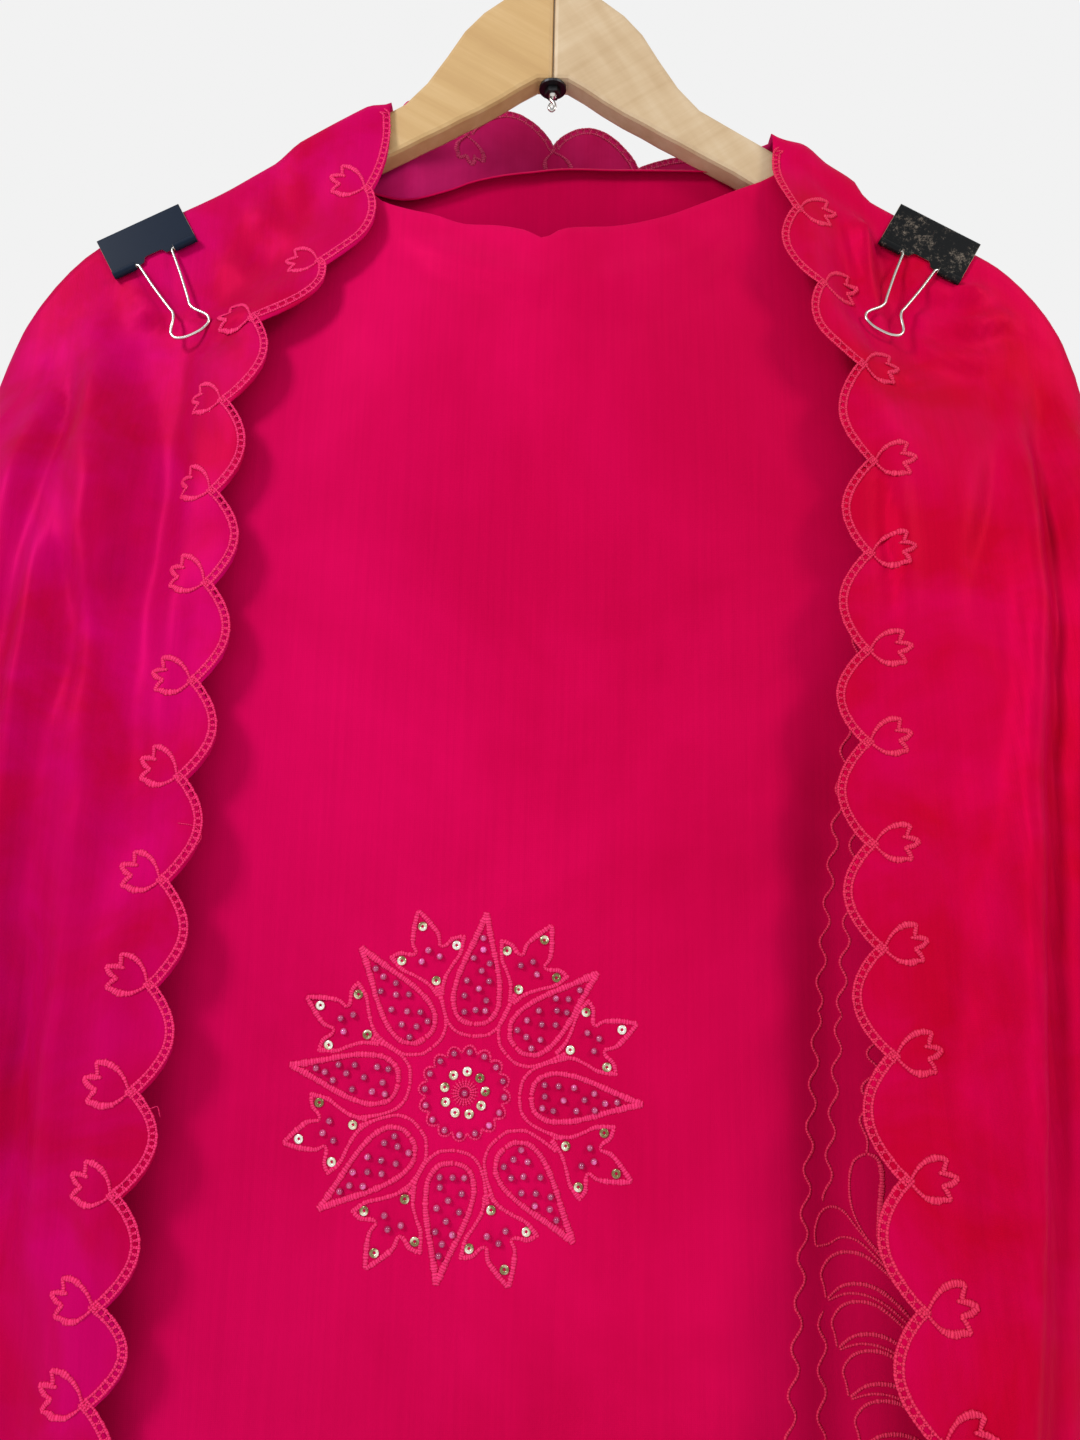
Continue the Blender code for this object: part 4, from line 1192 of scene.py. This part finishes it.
def many(name, places, shape, lift, material):
    """Copies of one small shape set on the front.  shape makes it in a bmesh at the origin."""
    mesh = bmesh.new()
    for x, z in places:
        one = bmesh.new()
        shape(one)
        normal = Vector(((front_y(x + 1.0, z) - front_y(x - 1.0, z)) / 2.0, -1.0,
                         (front_y(x, z + 1.0) - front_y(x, z - 1.0)) / 2.0)).normalized()
        lean = Vector((random.uniform(-0.13, 0.13), 0.0, random.uniform(-0.13, 0.13)))
        turn = (normal + lean).normalized().to_track_quat("Z", "Y").to_matrix().to_4x4()
        spot = Vector((x, front_y(x, z) - CLOTH_THICK / 2 - lift, z)) * MM
        bmesh.ops.transform(one, matrix=Matrix.Translation(spot) @ turn, verts=one.verts)
        add_part(mesh, one)
    piece = made_piece(name, mesh)
    dress(piece, material)
    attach(piece, "stole_on_hanger")


def sequin_shape(one):
    """A cupped disc with a hole, turned from its section."""
    section = ((0.55, 0.0), (1.0, 0.16), (SEQUIN_RADIUS, 0.34), (SEQUIN_RADIUS, 0.20),
               (1.0, 0.02), (0.55, -0.14))
    verts = [one.verts.new((radius * MM, 0.0, height * MM)) for radius, height in section]
    edges = [one.edges.new(pair) for pair in zip(verts, verts[1:] + verts[:1])]
    bmesh.ops.spin(one, geom=verts + edges, cent=(0.0, 0.0, 0.0), axis=(0.0, 0.0, 1.0),
                   angle=math.tau, steps=14, use_merge=True)
    bmesh.ops.recalc_face_normals(one, faces=one.faces)


def bead_shape(one):
    bmesh.ops.create_uvsphere(one, u_segments=10, v_segments=7, radius=BEAD_RADIUS * MM)


sequins, beads = [], []
for angle in PETAL_ANGLES:
    for out, across in PETAL_BEADS:
        beads.append(on_flower(angle, out + random.uniform(-0.7, 0.7),
                               across + random.uniform(-0.5, 0.5)))
for angle in LEAF_ANGLES:
    sequins += [on_flower(angle, out, across)
                for out, across in ((43.5, 0.0), (54.4, 11.0), (54.4, -11.0), (65.0, 0.0))]
    beads += [on_flower(angle, out, across)
              for out, across in ((55.5, 0.0), (52.0, 3.6), (52.0, -3.6))]
beads += [on_flower(360.0 / LOOPS * loop, 15.2, 0.0) for loop in range(LOOPS)]
beads.append(on_flower(0.0, 0.0, 0.0))
sequins += [on_flower(index * 40.0, 7.9, 0.0) for index in range(9)]
# Cream sequins; the dark olive patches that noise lays on some of them are painted reflection.
many("sequins", sequins, sequin_shape, 0.2, speckled(
    "cream_sequin_painted_reflection", 0.18,
    ((0.42, (0.20, 0.14, 0.04)), (0.50, (0.74, 0.68, 0.46)), (0.60, (0.88, 0.85, 0.76))),
    {"Scale": 160.0, "Detail": 1.0}, Metallic=0.35, Coat_Weight=0.6))
many("beads", beads, bead_shape, 0.7, speckled(
    "mauve_pearl", 0.16,
    ((0.44, (0.36, 0.030, 0.120)), (0.60, (0.52, 0.070, 0.200)), (0.72, (0.80, 0.140, 0.480))),
    {"Scale": 220.0, "Detail": 1.0}, Coat_Weight=0.8, Coat_Roughness=0.08))

# ---------------------------------------------------------------- worked panel down the right
# Wavy corded lines run down the front stretch beside the right fall, with a leaf and a row of
# feather arcs half hidden under the fall.
WAVE_PITCH = 15.5
WAVE_HALF = 0.55
PANEL_WAVES = (              # top x, z, low x, z, reach
    ((133, -395), (112, -556), 1.7), ((112, -556), (95.5, -710), 1.8),
    ((95.5, -710), (84, -985), 1.8), ((138, -402), (121, -557), 1.6),
    ((121, -557), (113.2, -626), 1.6), ((110.3, -664), (96, -985), 1.7),
)
PANEL_LINES = (              # x, z, half width
    ((137.4, -565, 0.5), (131.6, -568.8, 0.5), (130.6, -572.3, 0.5), (134.2, -577, 0.5),
     (129, -582.2, 0.5), (128.2, -585.5, 0.5), (130.8, -590, 0.5), (127.1, -595, 0.5),
     (127.5, -598.5, 0.5), (129.3, -603, 0.5), (128.9, -608, 0.5)),
    ((128.9, -608.1, 0.5), (124.2, -611.1, 0.55), (122.2, -618.6, 0.5), (122.8, -628, 0.45),
     (126.5, -636.6, 0.45), (132.5, -643.8, 0.5)),
    ((128.9, -608.1, 0.5), (132.8, -610, 0.9), (134.2, -616, 1.1), (133.1, -626.5, 1.1),
     (132, -635.5, 0.9), (132.5, -643.8, 0.5)),
    ((108.3, -641.6, 0.4), (108, -636.3, 0.45), (110.3, -630.3, 0.5), (114.6, -627.9, 0.5),
     (119.6, -629.4, 0.5), (124, -634.7, 0.45), (131, -643, 0.45), (139, -652, 0.5)),
    ((108.3, -641.6, 0.4), (113.6, -641, 0.4), (118.6, -638.7, 0.4), (125, -640, 0.45),
     (133, -647, 0.5), (141, -655, 0.5)),
)
PLUME = (                    # the first of the stacked plumes: x, z, half width
    ((111.9, -660, 0.5), (111.1, -655.4, 0.45), (110.2, -650.8, 0.5), (114.2, -645.7, 0.6),
     (120.6, -643.8, 0.7), (127.6, -645.2, 0.7), (135.9, -651.7, 0.6), (144, -661, 0.5)),
    ((112.4, -660.2, 0.5), (118.1, -655.9, 0.7), (125.2, -654.7, 0.8), (132.2, -656.7, 0.8),
     (139.7, -662.7, 0.7), (146, -670, 0.5)),
    ((112.6, -660.8, 0.4), (120.1, -658.3, 0.45), (127.2, -658.6, 0.5), (134.1, -661.6, 0.5),
     (142, -668, 0.45)),
)
PLUME_REPEATS = (0.0, 17.0, 33.5, 50.0, 67.0, 84.0, 101.0, 118.0, 135.0)
PLUME_DRIFT = 0.22
panel = Needle(front_y)
for (x0, z0), (x1, z1), reach in PANEL_WAVES:
    start = random.uniform(0.0, math.tau)
    steps = int((z0 - z1) / 1.6)
    line = []
    for step in range(steps + 1):
        z = z0 + (z1 - z0) * step / steps
        x = x0 + (x1 - x0) * step / steps
        line.append((x + reach * math.sin(math.tau * (z - z0) / WAVE_PITCH + start), z, WAVE_HALF))
    panel.line(line, 0.5, 1.4)
for outline in PANEL_LINES:
    panel.line(rounded_line(outline, 4), 0.55, 0.7)
for drop in PLUME_REPEATS:
    for outline in PLUME:
        panel.line(rounded_line([(x + drop * PLUME_DRIFT, z - drop, half)
                                 for x, z, half in outline], 4), 0.55, 0.7)
panel.sew("panel_stitches", coral_thread)

# ---------------------------------------------------------------- binder clips
# Two spring steel clips, enamelled black, pinch all layers over the arms.  Each jaw ends in two
# rolls that carry a bright wire handle.
CLIP_WIDE = 41.0
CLIP_PLATE = 21.0
CLIP_STEEL = 0.6
CLIP_AT = {"left": -186.5, "right": 176.0}
CLIP_RISE = {"left": 0.0, "right": 2.2}      # the back of the clip stands this much higher
CLIP_BEND = 1.6
CLIP_EDGE = 0.5              # the jaws' outer edges are this far in from their ends
KNUCKLE = 11.0               # length of each roll
ROLL = 1.45
ROLL_TURN = 290.0
WIRE_RADIUS = 0.66
HANDLE_TILT = {"left": 7.5, "right": 12.0}
HANDLE_HALF = (              # half a handle: x, and how far below the roll
    (-18, 0), (-14, 0), (-9.6, 0), (-8.7, 0.3), (-8.2, 1.2), (-8, 2.8), (-6.7, 15), (-4.8, 28.2),
    (-4.2, 31.8), (-5.1, 35), (-8, 39.4), (-9, 42), (-8.2, 44.7), (-5.3, 46.4), (-2.3, 47),
)
# lower edge of the jaw between its rolls: x, how far it is cut up
JAW_CUT = (
    (-9.6, 0), (-5.6, 0.6), (-4.4, 2.6), (-3.2, 3), (3.2, 3), (4.4, 2.6), (5.6, 0.6), (9.6, 0),
)


def clip_half(rise):
    """Half the clip's section, from the middle of its back to its roll, and where it is flat."""
    plate = OUTER_FACE + 1.2
    top = OUTER_LIFT + 1.7
    points = [(0.0, top + rise), (plate - CLIP_BEND, top + rise)]
    for step in range(1, 7):
        angle = math.radians(90.0 * step / 6.0)
        points.append((plate - CLIP_BEND * (1.0 - math.sin(angle)),
                       top + rise - CLIP_BEND * (1.0 - math.cos(angle))))
    points += [(plate, top - 3.5 - 3.4 * step) for step in range(1, 5)]
    points.append((plate, top - CLIP_PLATE))
    flat = len(points)
    for step in range(1, 17):
        angle = math.radians(ROLL_TURN) * step / 16.0
        points.append((plate + ROLL - ROLL * math.cos(angle),
                       top - CLIP_PLATE - ROLL * math.sin(angle)))
    return points, flat, plate + ROLL, top - CLIP_PLATE


jaw_cut = smooth_table(JAW_CUT)
ENAMELS = {                  # colour, rubbed colour, where it is rubbed
    "left": ((0.007, 0.014, 0.030), (0.020, 0.030, 0.045), 0.62),
    "right": ((0.008, 0.009, 0.010), (0.15, 0.125, 0.10), 0.535),
}
ENAMEL_NOISE = {"Scale": 150.0, "Detail": 9.0, "Roughness": 0.86}
bare_steel = metal("bare_steel", (0.62, 0.52, 0.40), 0.34, 0.10)
clip_x = [-CLIP_WIDE / 2, -CLIP_WIDE / 2 + CLIP_EDGE, -CLIP_WIDE / 2 + KNUCKLE]
clip_x += [x for x, _cut in JAW_CUT[1:-1]]
clip_x += [CLIP_WIDE / 2 - KNUCKLE, CLIP_WIDE / 2 - CLIP_EDGE, CLIP_WIDE / 2]
slope = math.atan2(arm_top(152.0) - arm_top(206.0), 54.0)
half_loop = [(x, 0.0, -drop) for x, drop in HANDLE_HALF]
handle_line = rounded_line(half_loop + [(-x, y, z) for x, y, z in reversed(half_loop)], 5)
for hand, x_mid in CLIP_AT.items():
    half, flat, roll_y, roll_z = clip_half(CLIP_RISE[hand])
    section = [(-y, z) for y, z in reversed(half[1:])] + half
    flat_first, flat_last = len(half) - flat, len(section) - 1 - (len(half) - flat)
    seat = Matrix.Translation((x_mid * MM, 0.0, arm_top(x_mid) * MM)) @ Matrix.Rotation(
        SIGN[hand] * slope, 4, "Y")
    sheet = bmesh.new()
    bmesh.ops.create_grid(sheet, x_segments=len(clip_x) - 1, y_segments=len(section) - 1, size=0.5)
    spare = []
    for face in sheet.faces:
        middle = face.calc_center_median()
        row = (middle.y + 0.5) * (len(section) - 1)
        column = (middle.x + 0.5) * (len(clip_x) - 1)
        if 2.0 < column < len(clip_x) - 3 and (row < flat_first or row > flat_last):
            spare.append(face)
    for vertex in sheet.verts:
        column = round((vertex.co.x + 0.5) * (len(clip_x) - 1))
        row = round((vertex.co.y + 0.5) * (len(section) - 1))
        y, z = section[row]
        x = clip_x[column]
        if abs(x) < 9.0:
            low = roll_z + jaw_cut(x)[0]
            if row in (flat_first, flat_last) or z < low:
                z = max(z, low)
        vertex.co = Vector((x, y, z)) * MM
    bmesh.ops.delete(sheet, geom=spare, context="FACES")
    bmesh.ops.remove_doubles(sheet, verts=sheet.verts, dist=1e-6)
    bmesh.ops.transform(sheet, matrix=seat, verts=sheet.verts)
    bmesh.ops.recalc_face_normals(sheet, faces=sheet.faces)
    jaws = made_piece("jaws_" + hand, sheet, smooth=False)
    wall = jaws.modifiers.new("steel", "SOLIDIFY")
    wall.thickness = CLIP_STEEL * MM
    wall.offset = 0.0
    wall.material_offset_rim = 1
    edges = jaws.modifiers.new("edges", "BEVEL")
    edges.width = 0.12 * MM
    edges.segments = 1
    edges.limit_method = "ANGLE"
    edges.angle_limit = math.radians(50.0)
    colour, scuff, bare = ENAMELS[hand]
    dress(jaws, speckled("enamel_" + hand, 0.34, ((bare, colour), (bare + 0.07, scuff)),
                         ENAMEL_NOISE, Specular_IOR_Level=0.09))
    jaws.data.materials.append(bare_steel)
    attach(jaws, "stole_on_hanger")
    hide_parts("clip_" + hand)
    for side, word in ((-1.0, "front"), (1.0, "back")):
        place = seat @ Matrix.Translation((0.0, side * roll_y * MM, roll_z * MM)) @ Matrix.Rotation(
            side * math.radians(HANDLE_TILT[hand]), 4, "X")
        name = "handle_" + hand + "_" + word
        handle = wire(name + "_wire", [place @ (Vector(p) * MM) / MM for p in handle_line],
                      WIRE_RADIUS, 10)
        dress(handle, steel)
        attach(handle, name)
        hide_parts(name)

# ---------------------------------------------------------------- floor, light and camera
# A plain pale room with a large soft light in front and to the left.
ROOM_LIGHT = 0.55
PALE = (0.887, 0.887, 0.887, 1.0)
floor_mesh = bmesh.new()
bmesh.ops.create_grid(floor_mesh, x_segments=1, y_segments=1, size=4.0,
                      matrix=Matrix.Translation((0.0, 0.0, -1.30)))
floor = made_piece("floor", floor_mesh, smooth=False)
pale, tree, shader = new_material("pale_floor", 0.8)
shader.inputs["Base Color"].default_value = (0.86, 0.86, 0.86, 1.0)
shader.inputs["Emission Color"].default_value = (1.0, 1.0, 1.0, 1.0)
shader.inputs["Emission Strength"].default_value = 0.25
dress(floor, pale)

world = bpy.data.worlds.new("pale_room")
world.use_nodes = True
sky = world.node_tree.nodes["Background"]
sky.inputs["Color"].default_value = PALE
sky.inputs["Strength"].default_value = 1.0
room = world.node_tree
dim = add_node(room, "ShaderNodeBackground", Color=PALE, Strength=ROOM_LIGHT)
seen = add_node(room, "ShaderNodeLightPath")
pick = add_node(room, "ShaderNodeMixShader")
room.links.new(seen.outputs["Is Camera Ray"], pick.inputs["Fac"])
room.links.new(dim.outputs["Background"], pick.inputs[1])
room.links.new(sky.outputs["Background"], pick.inputs[2])
room.links.new(pick.outputs["Shader"], room.nodes["World Output"].inputs["Surface"])
bpy.context.scene.world = world
bpy.context.scene.view_settings.view_transform = "Standard"

LIGHT_AIM = Vector((0.0, 0.0, -0.5))
LIGHTS = (                   # name, place, width, height, watts, colour
    ("key_light", (-1.30, -1.35, 0.64), 0.45, 0.6, 26.0, (0.97, 0.97, 1.0)),
    ("side_light", (1.42, -1.15, 0.55), 0.5, 0.6, 12.0, (1.0, 0.95, 0.86)),
    ("back_light", (1.1, 1.6, 0.4), 0.9, 0.9, 16.0, (1.0, 1.0, 1.0)),
)
for name, place, width, height, watts, colour in LIGHTS:
    light = bpy.data.lights.new(name, "AREA")
    light.shape = "RECTANGLE"
    light.size = width
    light.size_y = height
    light.energy = watts
    light.color = colour
    lamp = bpy.data.objects.new(name, light)
    bpy.context.scene.collection.objects.link(lamp)
    lamp.location = place
    lamp.rotation_euler = (LIGHT_AIM - Vector(place)).to_track_quat("-Z", "Y").to_euler()

CAMERA_AT = (0.0, -0.460, -0.518)
CAMERA_PITCH = 9.9
CAMERA_ROLL = 1.15
camera = bpy.data.cameras.new("camera")
camera.lens = 27.05
camera.sensor_width = 36.0
camera.clip_start = 0.01
view = bpy.data.objects.new("camera", camera)
bpy.context.scene.collection.objects.link(view)
aim = Matrix.Rotation(math.radians(90.0 + CAMERA_PITCH), 4, "X")
view.matrix_world = Matrix.Translation(CAMERA_AT) @ aim @ Matrix.Rotation(
    math.radians(CAMERA_ROLL), 4, "Z")
bpy.context.scene.camera = view
